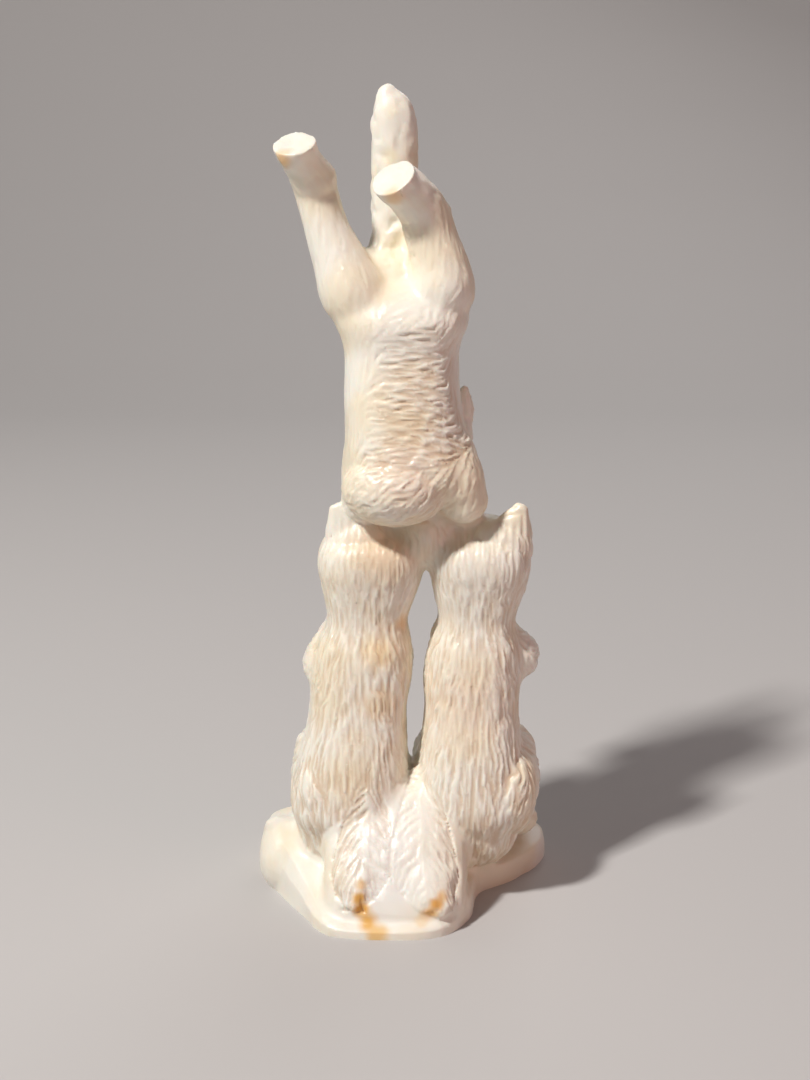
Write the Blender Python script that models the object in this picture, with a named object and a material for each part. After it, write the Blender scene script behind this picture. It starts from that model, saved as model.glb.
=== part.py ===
"""Bone carving of three cats: two sit up side by side on a low rock base, the third stands on its forelegs
on their heads, with its hind legs and tail in the air. It is one solid piece, in metres, +Z up. The cats
face +Y. The origin is on the underside of the base, between the two seated cats."""

from math import cos, pi, radians, sin

import bmesh
import bpy
import numpy as np
from mathutils import Matrix, Vector
from mathutils.bvhtree import BVHTree
from mathutils.kdtree import KDTree

MM = 0.001

# Driving dimensions, in metres
BASE_WIDTH = 57 * MM
SEAT_HEIGHT = 8 * MM
SEATED_CAT_HEIGHT = 68 * MM
SEATED_CAT_SPACING = 23.6 * MM
TOP_CAT_HEIGHT = 78 * MM
LOCK_WIDTH = 2.0 * MM
LOCK_DEPTH = 0.42 * MM

# The canons: how many units each figure is drawn, so that one unit is a share of its own size
SEATED_CANON = 68
TOP_CANON = 78
BASE_CANON = 57
SEATED_UNIT = SEATED_CAT_HEIGHT / SEATED_CANON
TOP_UNIT = TOP_CAT_HEIGHT / TOP_CANON
BASE_UNIT = BASE_WIDTH / BASE_CANON

# How far up a seated cat the forelegs of the top one stand, in units of the seated canon
CROWN = 64
PAIR_MIDDLE = 1 * MM

# The material's looks
BONE_COLOUR = (0.80, 0.70, 0.56, 1)
BONE_ROUGHNESS = 0.38

# How finely the solid is drawn
FORM_VOXEL = 0.7 * MM
DETAIL_VOXEL = 0.55 * MM
FORM_BLEND = 1.4 * MM
DETAIL_BLEND = 0.45 * MM
MOST_TRIANGLES = 9600
RING_SIDES = 28
STEPS_BETWEEN_STATIONS = 4
CAP_STEPS = 4
BOXINESS = 2.5
ROCK_MARGIN = 0.9 * MM
TAIL_WAY = (0.5, -0.45, -0.75)
TAIL_END = 4.2
FEET_START = 59

# A face starts this far in front of the middle of its skull and reaches this far from it, in canon units
FACE_START = 2.5
FACE_REACH = 14
SHARP_ANGLE = radians(50)
SEED = 7
CHUNK = 4096


def smooth_path(rows, steps=STEPS_BETWEEN_STATIONS):
    """Rows of numbers read from a smooth curve through the given rows."""
    rows = np.array(rows, float)
    padded = np.vstack([2 * rows[0] - rows[1], rows, 2 * rows[-1] - rows[-2]])
    found = []
    for i in range(1, len(padded) - 2):
        before, start, end, after = padded[i - 1 : i + 3]
        for t in np.arange(steps) / steps:
            found.append(
                0.5 * (2 * start + (end - before) * t
                       + (2 * before - 5 * start + 4 * end - after) * t**2
                       + (3 * start - before - 3 * end + after) * t**3)
            )
    found.append(rows[-1])
    return np.array(found)


def squared(share, boxiness):
    """A cosine or sine pushed outwards, so that an ellipse gets fuller corners. At 2 it stays round."""
    return abs(share) ** (2 / boxiness) * (1 if share > 0 else -1)


def sweep(bm, stations, round_end=True, boxiness=2.0, level=False):
    """A closed body along a path. A station is (x, y, z, half-width, half-depth), or (x, y, z, radius).
    The rings lie across the path, or flat where level is set."""
    rows = smooth_path([s if len(s) == 5 else (*s, s[3]) for s in stations])
    centres, radii = rows[:, :3], np.maximum(rows[:, 3:], 0.05)
    tangents = np.gradient(centres, axis=0)
    if level:
        tangents[:] = (0, 0, 1)
    rings = []

    def ring(centre, tangent, width, depth):
        tangent = Vector(tangent).normalized()
        side = Vector((1, 0, 0))
        side = (side - tangent * side.dot(tangent)).normalized()
        other = tangent.cross(side)
        turns = [2 * pi * k / RING_SIDES for k in range(RING_SIDES)]
        across = [width * squared(cos(turn), boxiness) for turn in turns]
        along = [depth * squared(sin(turn), boxiness) for turn in turns]
        return [bm.verts.new(Vector(centre) + side * a + other * b) for a, b in zip(across, along)]

    def cap(index, way):
        """Rings that round off one end, from the end outwards."""
        width, depth = radii[index]
        tangent = Vector(tangents[index]).normalized()
        reach = min(width, depth)
        turns = [0.5 * pi * k / CAP_STEPS for k in range(1, CAP_STEPS)]
        outwards = tangent * way * reach
        return [ring(Vector(centres[index]) + outwards * sin(t), tangent, width * cos(t), depth * cos(t))
                for t in turns]

    rings += reversed(cap(0, -1))
    rings += [ring(c, t, *r) for c, t, r in zip(centres, tangents, radii)]
    if round_end:
        rings += cap(-1, 1)
    for lower, upper in zip(rings, rings[1:]):
        for k in range(RING_SIDES):
            n = (k + 1) % RING_SIDES
            bm.faces.new((lower[k], lower[n], upper[n], upper[k]))
    bm.faces.new(rings[0][::-1])
    bm.faces.new(rings[-1])


def ball(bm, centre, radii, tilt=0.0):
    """An ellipsoid, its upper end tilted towards -Y by tilt radians."""
    turn = Matrix.Rotation(tilt, 4, "X")
    size = Matrix.Diagonal((*radii, 1))
    bmesh.ops.create_icosphere(bm, subdivisions=3, radius=1, matrix=Matrix.Translation(centre) @ turn @ size)


class Place:
    """Where a figure stands: its canon's unit, its origin, and a side of -1 where it is mirrored."""

    def __init__(self, unit, origin, side=1):
        self.unit, self.origin, self.side = unit, Vector(origin), side

    def point(self, co):
        return Vector((co[0] * self.side, co[1], co[2])) * self.unit + self.origin

    def direction(self, way):
        return Vector((way[0] * self.side, way[1], way[2])).normalized()

    def add(self, bm, make, *values):
        """Adds what make models, moved out of the canon to this place."""
        first = len(bm.verts)
        make(bm, *values)
        bm.verts.ensure_lookup_table()
        for vert in bm.verts[first:]:
            vert.co = self.point(vert.co)


# The seated cat, in units of its canon, from its seat: height, half-width, y and half-depth of its torso.
# X runs outwards, away from the other seated cat.
SEATED_TORSO = [
    (6, 9.8, -0.8, 11.4),
    (10, 10.9, -1.3, 12.3),
    (16, 10.6, -1.5, 11.3),
    (23, 9.6, -1.2, 10.2),
    (29, 9.0, -0.6, 9.4),
    (35, 9.3, -0.1, 9.4),
    (41, 8.7, 0.0, 8.7),
    (46, 7.4, 0.2, 7.4),
    (52, 8.8, -0.2, 7.7),
    (57, 9.6, -0.8, 7.9),
    (61, 8.6, -0.4, 7.0),
    (63, 6.0, 0.4, 3.0),
]
LEAN_END = 53


class SeatedPose:
    """How one seated cat differs from the other, in units of its canon. Lean is how far out the head is."""

    def __init__(self, lean, lean_start, girth, ear_out, knee_out, knee_in,
                 elbow_out, elbow_in, elbow_height):
        self.lean, self.lean_start, self.girth, self.ear_out = lean, lean_start, girth, ear_out
        self.knee_out, self.knee_in = knee_out, knee_in
        self.elbow_out, self.elbow_in, self.elbow_height = elbow_out, elbow_in, elbow_height

    def spine(self, height):
        return self.lean * min(max((height - self.lean_start) / (LEAN_END - self.lean_start), 0), 1)


LEFT_POSE = SeatedPose(lean=-4.6, lean_start=8, girth=1.04, ear_out=6.0, knee_out=5.4, knee_in=4.4,
                       elbow_out=7.8, elbow_in=5.9, elbow_height=36.5)
RIGHT_POSE = SeatedPose(lean=1.3, lean_start=34, girth=1.0, ear_out=7.3, knee_out=7.8, knee_in=5.6,
                        elbow_out=9.0, elbow_in=4.4, elbow_height=38.3)
LEFT_PLACE = Place(SEATED_UNIT, (PAIR_MIDDLE - SEATED_CAT_SPACING / 2, 0, SEAT_HEIGHT), side=-1)
RIGHT_PLACE = Place(SEATED_UNIT, (PAIR_MIDDLE + SEATED_CAT_SPACING / 2, 0, SEAT_HEIGHT))
TOP_PLACE = Place(TOP_UNIT, (0, 0, SEAT_HEIGHT + CROWN * SEATED_UNIT))
BASE_PLACE = Place(BASE_UNIT, (0, 0, 0))


def head_forms(bm, skull):
    """Cheeks, muzzle, chin and brow on a skull whose middle is given. A head faces +Y."""
    x, y, z = skull
    for way in (1, -1):
        ball(bm, (x + way * 5.2, y + 3.4, z - 3.4), (3.9, 4.0, 3.7))
        ball(bm, (x + way * 1.9, y + 8.4, z - 3.2), (2.7, 2.4, 2.3))
    ball(bm, (x, y + 6.6, z - 2.4), (4.4, 3.8, 4.0))
    ball(bm, (x, y + 6.6, z - 5.6), (2.7, 3.0, 2.2))


def head_details(bm, skull):
    """Eyes and nose."""
    x, y, z = skull
    for way in (1, -1):
        ball(bm, (x + way * 3.9, y + 6.6, z + 1.5), (1.9, 1.5, 1.5))
    ball(bm, (x, y + 10.2, z - 1.3), (1.4, 1.0, 1.0))


def seated_skull(pose):
    return pose.lean, 1.8, 56.5


def seated_forms(bm, pose):
    """Body, head and limbs of a seated cat."""
    torso = [(pose.spine(z), y, z, width * pose.girth, depth) for z, width, y, depth in SEATED_TORSO]
    sweep(bm, torso, boxiness=BOXINESS, level=True)
    ball(bm, seated_skull(pose), (9.8, 8.8, 8.4))
    head_forms(bm, seated_skull(pose))
    ball(bm, (pose.spine(44), 3.4, 41.0), (7.6, 7.0, 8.0))
    ball(bm, (pose.spine(20), 3.6, 20.0), (8.4, 8.4, 15.0))
    chest = pose.spine(38)
    for way, reach, height in ((1, pose.elbow_out, pose.elbow_height), (-1, pose.elbow_in, 37.5)):
        shoulder = (chest + way * 4.2, 1.0, 42.5, 4.0)
        elbow = (chest + way * reach, 1.8, height, 4.0)
        wrist = (chest + way * 4.6, 9.2, height + 1.6, 3.1)
        paw = (chest + way * 2.9, 11.6, height + 3.4, 3.1)
        sweep(bm, [shoulder, elbow, wrist, paw])
    ball(bm, (chest + pose.elbow_out - 0.4, 1.0, pose.elbow_height - 0.4), (4.2, 4.4, 4.6))
    for way, reach in ((1, pose.knee_out), (-1, pose.knee_in)):
        ball(bm, (way * reach, 2.0, 13.0), (5.9, 10.0, 9.8), tilt=-0.35)
        ball(bm, (way * (reach + 0.9), 8.6, 14.4), (4.9, 5.6, 7.0))
        sweep(bm, [(way * (reach + 1.6), 5, 2.6, 4.4, 3.4), (way * (reach + 1.4), 10.5, 2.4, 4.2, 3.2),
                   (way * (reach + 1.0), 14.6, 2.2, 4.6, 3.3)])


def seated_details(bm, pose):
    """Ears, the fold of the outer thigh, and the crown that rises towards the outer ear. The outer ear shows
    behind the top cat's foreleg and the inner one in front of it."""
    head_details(bm, seated_skull(pose))
    ball(bm, (pose.knee_out - 0.4, -3.6, 13.0), (5.4, 8.8, 9.2))
    ball(bm, (pose.lean + pose.ear_out - 3.6, -2.4, 60.0), (6.2, 3.8, 5.6))
    for way, y in ((1, -1.8), (-1, 3.6)):
        tip = pose.lean + way * pose.ear_out
        sweep(bm, [(tip - way * 2.0, y, 60.0, 4.4, 3.2), (tip - way * 1.2, y - 0.6, 64.2, 3.6, 2.2),
                   (tip, y - 1.0, 67.7, 1.6, 1.0)])


# The top cat's torso, in units of its canon, from the heads that it stands on: height, x, half-width, y and
# half-depth. Its belly is on the -Y side.
TOP_TORSO = [
    (3, 1.5, 6.0, 1.0, 5.0),
    (7, 1.5, 10.4, 0.2, 8.6),
    (12, 1.2, 12.0, -1.0, 11.0),
    (18, 0.3, 11.1, -0.5, 10.6),
    (24, -0.3, 10.6, 0.0, 10.0),
    (31, -0.4, 10.4, 0.6, 9.2),
    (34, -0.4, 10.9, 0.7, 9.2),
    (37.6, -0.5, 12.3, 0.9, 9.5),
    (41, -1.0, 12.2, 1.8, 8.5),
    (43.6, -1.7, 10.2, 2.9, 6.7),
    (45.6, -2.0, 6.4, 4.8, 4.0),
]
TOP_HEAD = (4.5, 12.0, 13.8)

# The chest and the near foreleg's shoulder hang over the seated cats' heads
CHEST, CHEST_RADII = (-1.5, -6.8, 8.4), (9.9, 7.0, 7.2)
FORELEG_LOBE = [(7.2, -3.4, 14.5, 5.6), (9.2, -4.8, 9.5, 5.5), (10.8, -4.6, 5.9, 4.6)]


# The raised hind legs, each as a path from the hip to the flat sole
LEFT_HIND_LEG = [
    (-6.6, -1.2, 39, 5.4),
    (-9.2, -0.8, 43, 6.1),
    (-11.5, -0.3, 48.5, 4.9),
    (-13.7, 0.2, 54, 4.1),
    (-15.2, 0.6, 59.5, 4.0),
    (-15.8, -0.2, 62, 4.3),
    (-17.3, -2.4, 64.8, 3.6),
    (-18.4, -3.8, 66.8, 3.8),
    (-18.7, -4.7, 68.4, 3.9),
]
RIGHT_HIND_LEG = [
    (5.6, -0.8, 39, 5.0),
    (6.8, -0.6, 43, 6.1),
    (6.4, -0.4, 47.5, 5.2),
    (5.2, -0.3, 51, 4.8),
    (4.2, -0.4, 54.5, 4.7),
    (2.9, -1.6, 57.6, 4.5),
    (0.7, -3.8, 60.2, 4.1),
    (-1.2, -5.4, 61.8, 4.1),
    (-1.9, -6.2, 62.8, 4.2),
]
FOOT_STATIONS = 4
HOCK = (5.3, -0.2, 56.6)
TOP_TAIL = [
    (-2.2, 5.6, 44, 5.0),
    (-2.0, 6.5, 52, 4.3, 3.8),
    (-1.8, 7.0, 60, 4.4, 3.9),
    (-1.6, 7.0, 68, 4.4, 3.6),
    (-2.1, 6.8, 73.6, 4.1, 3.0),
    (-3.2, 6.6, 77.2, 2.0, 1.4),
]


def top_forms(bm):
    """Body, head and limbs of the cat that stands on the others, and the joined cheeks under its chest."""
    sweep(bm, [(x, y, z, width, depth) for z, x, width, y, depth in TOP_TORSO], boxiness=BOXINESS,
          level=True)
    ball(bm, (3.7, -0.5, -2.0), (5.0, 6.0, 6.0))
    ball(bm, (6.4, 0.6, 3.4), (5.4, 5.2, 5.0))
    ball(bm, (-2.0, 4.4, 43.4), (9.8, 6.0, 6.6))
    ball(bm, (-7.2, 3.6, 48.2), (2.4, 2.4, 2.4))
    x, y, z = TOP_HEAD
    sweep(bm, [(0.5, 2, 11, 9.6), (3.2, 8, z - 0.4, 8.0)])
    ball(bm, TOP_HEAD, (8.9, 8.2, 8.2))
    head_forms(bm, TOP_HEAD)
    ball(bm, (6.0, -5.0, 10.8), (5.8, 6.8, 6.4))
    sweep(bm, FORELEG_LOBE)
    sweep(bm, [(8.0, -1.0, 13, 5.4), (10.0, -2.0, 5.6, 4.6), (11.0, 2.5, 1.5, 3.3), (11.2, 9.0, 1.0, 3.1)])
    sweep(bm, [(-6.0, -1.5, 13, 5.4), (-7.0, -2.5, 5.5, 4.6), (-8.0, 2.5, 2.5, 3.6), (-8.0, 9.0, 1.6, 3.3)])
    sweep(bm, LEFT_HIND_LEG, False)
    sweep(bm, RIGHT_HIND_LEG, False)
    sweep(bm, TOP_TAIL)


def top_details(bm):
    """The ears stand upright, because the head is lifted. The feet end in flat soles with a crisp edge."""
    x, y, z = TOP_HEAD
    head_details(bm, TOP_HEAD)
    ball(bm, CHEST, CHEST_RADII)
    ball(bm, HOCK, (3.2, 3.2, 2.6))
    sweep(bm, FORELEG_LOBE)
    sweep(bm, LEFT_HIND_LEG[-FOOT_STATIONS:], False)
    sweep(bm, RIGHT_HIND_LEG[-FOOT_STATIONS:], False)
    for way in (1, -1):
        sweep(bm, [(x + way * 5.0, y - 0.6, z + 3.4, 3.8, 2.4), (x + way * 6.2, y - 1.2, z + 6.8, 2.7, 1.5),
                   (x + way * 6.9, y - 1.8, z + 9.8, 0.9, 0.7)])


# The rock's edge in plan, in units of its canon, from the left round by the near side: x, y, the rock's
# height there and how far its upper edge is bevelled
BASE_EDGE = [
    (-28.2, 4.0, 12.0, 3.0),
    (-24.0, -6.0, 11.0, 3.4),
    (-19.0, -15.0, 6.4, 4.0),
    (-14.0, -22.5, 3.0, 3.4),
    (-3.0, -24.2, 2.4, 2.8),
    (6.8, -23.0, 3.0, 2.4),
    (12.4, -16.0, 5.0, 1.2),
    (14.4, -6.0, 5.0, 0.8),
    (21.0, -0.8, 4.4, 0.6),
    (27.4, 7.4, 4.8, 0.6),
    (27.8, 15.0, 5.6, 1.0),
    (19.0, 22.0, 6.4, 2.0),
    (2.0, 23.0, 6.8, 2.4),
    (-16.0, 22.0, 8.0, 2.6),
    (-26.0, 13.5, 10.0, 3.0),
]
BASE_BELOW = 4
BASE_TOP = 9

# The two seated cats' tails, lying down the near slope of the rock
SEATED_TAILS = [
    [(-6.4, -6.0, 25.0, 2.2, 1.8), (-6.6, -8.4, 21.0, 3.6, 2.0), (-7.1, -11.5, 16.6, 4.9, 2.5),
     (-8.0, -16.0, 11.0, 5.6, 3.0), (-8.8, -19.0, 7.2, 4.2, 2.6), (-9.2, -20.5, 5.4, 2.2, 1.7)],
    [(3.2, -5.0, 24.5, 2.2, 1.8), (3.2, -8.0, 20.6, 4.0, 2.0), (3.4, -11.5, 16.0, 5.6, 2.6),
     (3.8, -16.2, 10.6, 6.4, 3.1), (5.2, -19.2, 7.0, 5.2, 2.8), (7.2, -20.6, 5.0, 2.8, 2.1)],
]


def base_forms(bm):
    """The rock: a low slab with a wandering edge, and the slope that the two tails lie on."""
    edge = smooth_path(BASE_EDGE + BASE_EDGE[:1])[:-1]
    plan, heights, bevels = edge[:, :2], edge[:, 2], edge[:, 3:]
    inward = -plan / np.linalg.norm(plan, axis=1)[:, None]
    levels = [
        (plan, np.full(len(plan), -BASE_BELOW)),
        (plan, heights * 0.6),
        (plan + inward * bevels * 0.35, heights * 0.9),
        (plan + inward * bevels, heights),
    ]
    rings = [[bm.verts.new((x, y, z)) for (x, y), z in zip(points, tops)] for points, tops in levels]
    for lower, upper in zip(rings, rings[1:]):
        for k in range(len(lower)):
            n = (k + 1) % len(lower)
            bm.faces.new((lower[k], lower[n], upper[n], upper[k]))
    bm.faces.new(rings[0][::-1])
    top = bm.verts.new((0, 0, BASE_TOP))
    for k, vert in enumerate(rings[-1]):
        bm.faces.new((vert, rings[-1][(k + 1) % len(rings[-1])], top))
    sweep(bm, [(-1, -6, 18, 11.5, 6), (-1.5, -11.4, 11, 13.4, 7.0), (-1.8, -16.2, 3, 13.4, 6.0)], boxiness=3)
    ball(bm, (-23, 1, 5), (5.5, 8, 7.5))


def tail_forms(bm):
    """The two seated cats' tails."""
    for stations in SEATED_TAILS:
        sweep(bm, stations)


def evaluated(obj):
    """The object's mesh with its modifiers applied."""
    bpy.context.view_layer.update()
    graph = bpy.context.evaluated_depsgraph_get()
    return bpy.data.meshes.new_from_object(obj.evaluated_get(graph))


def changed(mesh, *modifiers):
    """The mesh after modifiers, each a type and its settings."""
    obj = bpy.data.objects.new("worked", mesh)
    bpy.context.scene.collection.objects.link(obj)
    for kind, settings in modifiers:
        modifier = obj.modifiers.new(kind, kind)
        for name, value in settings.items():
            setattr(modifier, name, value)
    result = evaluated(obj)
    bpy.data.objects.remove(obj)
    return result


def fused(bm, voxel, blend):
    """One skin round all the closed bodies in bm, with the creases between them filled over about blend."""
    mesh = bpy.data.meshes.new("bodies")
    bm.to_mesh(mesh)
    bm.free()
    passes = max(1, round(2 * (blend / voxel) ** 2))
    return changed(mesh, ("REMESH", {"mode": "VOXEL", "voxel_size": voxel}),
                   ("SMOOTH", {"factor": 0.5, "iterations": passes}))


# Which way the fur lies: a point on the figure and the way the hair runs there, in units of each canon
SEATED_COMB = [
    ((0, -12, 8), (0, -0.3, -1)),
    ((0, -10, 28), (0, 0, -1)),
    ((7, -8, 36), (0.45, 0, -1)),
    ((-7, -8, 36), (-0.35, 0, -1)),
    ((0, -8, 48), (0, 0, -1)),
    ((5, -7, 58), (-0.1, 0, -1)),
    ((-5, -7, 58), (0.1, 0, -1)),
    ((11, 0, 30), (0.1, 0.2, -1)),
    ((-10, 0, 30), (0, 0.2, -1)),
    ((10, 1, 56), (0, -0.3, -1)),
    ((-10, 1, 56), (0, -0.3, -1)),
    ((12, 0, 18), (0.1, 0.5, -0.8)),
    ((-10, 0, 18), (0, 0.5, -0.8)),
    ((8, 14, 4), (0, 1, -0.1)),
    ((-7, 14, 4), (0, 1, -0.1)),
    ((0, 9, 46), (0, 0.1, -1)),
    ((0, 9, 28), (0, 0.1, -1)),
    ((9, 4, 37), (-0.4, 0.9, 0.2)),
    ((-8, 4, 37), (0.4, 0.9, 0.2)),
    ((0, 9, 62), (0, -0.6, 0.8)),
    ((7, 7, 54), (0.8, -0.5, -0.4)),
    ((-7, 7, 54), (-0.8, -0.5, -0.4)),
]
TOP_COMB = [
    ((-3, -10, 16), (1, 0, 0.1)),
    ((5, -10, 16), (1, 0, -0.25)),
    ((-3, -10, 22), (1, 0, -0.1)),
    ((5, -10, 23), (1, 0, -0.2)),
    ((-1, -10, 29), (1, 0, 0)),
    ((1, -9, 36), (1, 0, 0.1)),
    ((-7, -8, 41), (-0.5, 0, 1)),
    ((5, -8, 41), (0.4, 0, 1)),
    ((-11, -2, 24), (0, 0.1, 1)),
    ((11, -2, 24), (0.1, 0, 1)),
    ((-12, -3, 12), (-0.2, 0, 1)),
    ((2, -12, 8), (0.7, 0, 0.6)),
    ((-6, -9, 6), (0.8, 0, 0.5)),
    ((11, -8, 8), (0.1, 0, 1)),
    ((0, 10, 24), (0, 0, 1)),
    ((-2, 9, 42), (0, 0, 1)),
    ((-13, 0, 54), (-0.1, 0, 1)),
    ((-17, -4, 65), (-0.45, -0.6, 0.6)),
    ((6, 0, 52), (-0.1, 0, 1)),
    ((1, -4, 60), (-0.5, -0.8, 0.4)),
    ((-2, 7, 62), (0, 0, 1)),
    ((4, 17, 20), (0, -0.7, 0.7)),
    ((12, 16, 12), (0.8, -0.6, -0.1)),
    ((-3, 16, 12), (-0.8, -0.6, -0.1)),
    ((12, 5, 3), (0, 1, -0.2)),
    ((-8, 5, 3), (0, 1, -0.2)),
]


def tail_coats(points):
    """For each seated cat's tail: which points are on it, and the way the fur parts there, down and out."""
    x, y, z = (points / BASE_UNIT).T
    for stations in SEATED_TAILS:
        rows = smooth_path(stations)[::-1]
        beside = (x - np.interp(z, rows[:, 2], rows[:, 0])) / np.interp(z, rows[:, 2], rows[:, 3])
        on = (abs(beside) < 1) & (z > TAIL_END) & (z < rows[-1, 2])
        on &= y < np.interp(z, rows[:, 2], rows[:, 1])
        ways = np.tile(TAIL_WAY, (len(points), 1))
        ways[:, 0] *= np.where(beside > 0, 1, -1)
        yield on, ways


def combed_guides():
    """Every guide, as points and directions in metres."""
    guides = [(place.point(at), place.direction(way))
              for place in (LEFT_PLACE, RIGHT_PLACE) for at, way in SEATED_COMB]
    guides += [(TOP_PLACE.point(at), TOP_PLACE.direction(way)) for at, way in TOP_COMB]
    points, ways = zip(*guides)
    return np.array(points), np.array(ways)


def read_mesh(mesh):
    points = np.empty(len(mesh.vertices) * 3, np.float32)
    mesh.vertices.foreach_get("co", points)
    normals = np.empty(len(mesh.vertices) * 3, np.float32)
    mesh.vertex_normals.foreach_get("vector", normals)
    return points.reshape(-1, 3).astype(float), normals.reshape(-1, 3).astype(float)


def fur_direction(points, normals):
    """The way the fur lies at each point of the surface, from the nearest guides."""
    guides, ways = combed_guides()
    found = np.empty_like(points)
    for start in range(0, len(points), CHUNK):
        part = slice(start, start + CHUNK)
        apart = ((points[part, None, :] - guides[None]) ** 2).sum(2)
        weights = 1 / (apart + MM**2) ** 2
        found[part] = weights @ ways
    for on, parted in tail_coats(points):
        found[on] = parted[on]
    found -= normals * (found * normals).sum(1)[:, None]
    return found / np.maximum(np.linalg.norm(found, axis=1), 1e-9)[:, None]


def off_rock(points):
    """How far each point is from the rock's own surface."""
    bm = bmesh.new()
    BASE_PLACE.add(bm, base_forms)
    skin = BVHTree.FromBMesh(bm)
    bm.free()
    return np.array([skin.find_nearest(Vector(point))[3] for point in points])


def off_faces(points):
    """Which points are not on the front of a head."""
    clear = np.ones(len(points), bool)
    skulls = (seated_skull(LEFT_POSE), seated_skull(RIGHT_POSE), TOP_HEAD)
    for place, skull in zip((LEFT_PLACE, RIGHT_PLACE, TOP_PLACE), skulls):
        apart = (points - np.array(place.point(skull))) / place.unit
        clear &= (apart[:, 1] < FACE_START) | (np.linalg.norm(apart, axis=1) > FACE_REACH)
    return clear


def off_feet(points):
    """Which points are below the raised feet, whose soles are cut flat."""
    return points[:, 2] < TOP_PLACE.point((0, 0, FEET_START))[2]


def spaced_seeds(points, ways, allowed, along, across, rng):
    """Vertices to start locks at: no two closer than along down the fur, or across beside it."""
    kept = np.empty((0, 3))
    chosen = []
    for i in rng.permutation(np.nonzero(allowed)[0]):
        if len(chosen):
            apart = kept - points[i]
            down = apart @ ways[i]
            beside = (apart**2).sum(1) - down**2
            if ((down / along) ** 2 + beside / across**2 < 1).any():
                continue
        chosen.append(i)
        kept = points[chosen]
    return chosen


def carve_locks(mesh, length, width, depth, rng):
    """Presses long tapered grooves into the surface, along the fur."""
    points, normals = read_mesh(mesh)
    ways = fur_direction(points, normals)
    on_tail = np.any([on for on, _ in tail_coats(points)], axis=0)
    rock = (off_rock(points) < ROCK_MARGIN) & ~on_tail
    allowed = ~rock & off_faces(points) & off_feet(points)
    tree = KDTree(len(points))
    for i, point in enumerate(points):
        tree.insert(point, i)
    tree.balance()
    candidates = np.zeros(len(points), bool)
    candidates[rng.choice(len(points), len(points) // 6, replace=False)] = True
    seeds = spaced_seeds(points, ways, allowed & candidates, length * 0.8, width * 1.25, rng)
    press = np.zeros(len(points))
    step = width * 0.4
    count = round(length / step)
    for seed in seeds:
        at, heading = points[seed], ways[seed]
        path = []
        for _ in range(count):
            path.append(at)
            _, near, _ = tree.find(at + heading * step)
            at = points[near] + 0.0
            turn = ways[near]
            heading = turn if turn @ heading > 0 else -turn
        for k, at in enumerate(path):
            share = sin(pi * (k + 0.5) / count) ** 0.6
            for _, i, gap in tree.find_range(at, width):
                push = depth * share * (1 - (gap / width) ** 2) ** 2
                if push > press[i]:
                    press[i] = push
    points -= normals * press[:, None]
    mesh.vertices.foreach_set("co", points.astype(np.float32).ravel())
    mesh.update()


def cut_flat(mesh):
    """Cuts the mesh off at the ground and closes it with one flat face."""
    bm = bmesh.new()
    bm.from_mesh(mesh)
    bmesh.ops.bisect_plane(bm, geom=bm.verts[:] + bm.edges[:] + bm.faces[:], dist=1e-7,
                           plane_co=(0, 0, 0), plane_no=(0, 0, 1), clear_inner=True)
    rim = [edge for edge in bm.edges if edge.is_boundary]
    bmesh.ops.holes_fill(bm, edges=rim, sides=0)
    bmesh.ops.triangulate(bm, faces=bm.faces)
    bmesh.ops.recalc_face_normals(bm, faces=bm.faces)
    bm.to_mesh(mesh)
    bm.free()


def carved_bone():
    """Polished cream bone."""
    material = bpy.data.materials.new("carved bone")
    material.use_nodes = True
    shader = material.node_tree.nodes["Principled BSDF"]
    shader.inputs["Base Color"].default_value = BONE_COLOUR
    shader.inputs["Roughness"].default_value = BONE_ROUGHNESS
    shader.inputs["Metallic"].default_value = 0.0
    return material


def build():
    for obj in list(bpy.data.objects):
        bpy.data.objects.remove(obj)

    bm = bmesh.new()
    LEFT_PLACE.add(bm, seated_forms, LEFT_POSE)
    RIGHT_PLACE.add(bm, seated_forms, RIGHT_POSE)
    TOP_PLACE.add(bm, top_forms)
    BASE_PLACE.add(bm, base_forms)
    forms = fused(bm, FORM_VOXEL, FORM_BLEND)

    bm = bmesh.new()
    bm.from_mesh(forms)
    LEFT_PLACE.add(bm, seated_details, LEFT_POSE)
    RIGHT_PLACE.add(bm, seated_details, RIGHT_POSE)
    TOP_PLACE.add(bm, top_details)
    BASE_PLACE.add(bm, base_forms)
    BASE_PLACE.add(bm, tail_forms)
    carving = fused(bm, DETAIL_VOXEL, DETAIL_BLEND)

    carve_locks(carving, length=LOCK_WIDTH * 5, width=LOCK_WIDTH * 0.5, depth=LOCK_DEPTH,
                rng=np.random.default_rng(SEED))
    triangles = sum(len(face.vertices) - 2 for face in carving.polygons)
    carving = changed(carving, ("DECIMATE", {"ratio": MOST_TRIANGLES / triangles}))
    cut_flat(carving)
    carving.shade_smooth()
    carving.set_sharp_from_angle(angle=SHARP_ANGLE)

    obj = bpy.data.objects.new("three_cats_carving", carving)
    carving.materials.clear()
    carving.materials.append(carved_bone())
    bpy.context.scene.collection.objects.link(obj)


build()
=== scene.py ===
"""The looks of a bone carving: two cats sit up side by side on a low rock and carry a third, which stands on
its forelegs. Lengths are in metres. The camera sees the carving from behind the seated cats."""

from math import cos, pi, radians, sin

import bmesh
import bpy
import numpy as np
from mathutils import Matrix, Vector, noise
from mathutils.bvhtree import BVHTree
from mathutils.kdtree import KDTree


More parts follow.
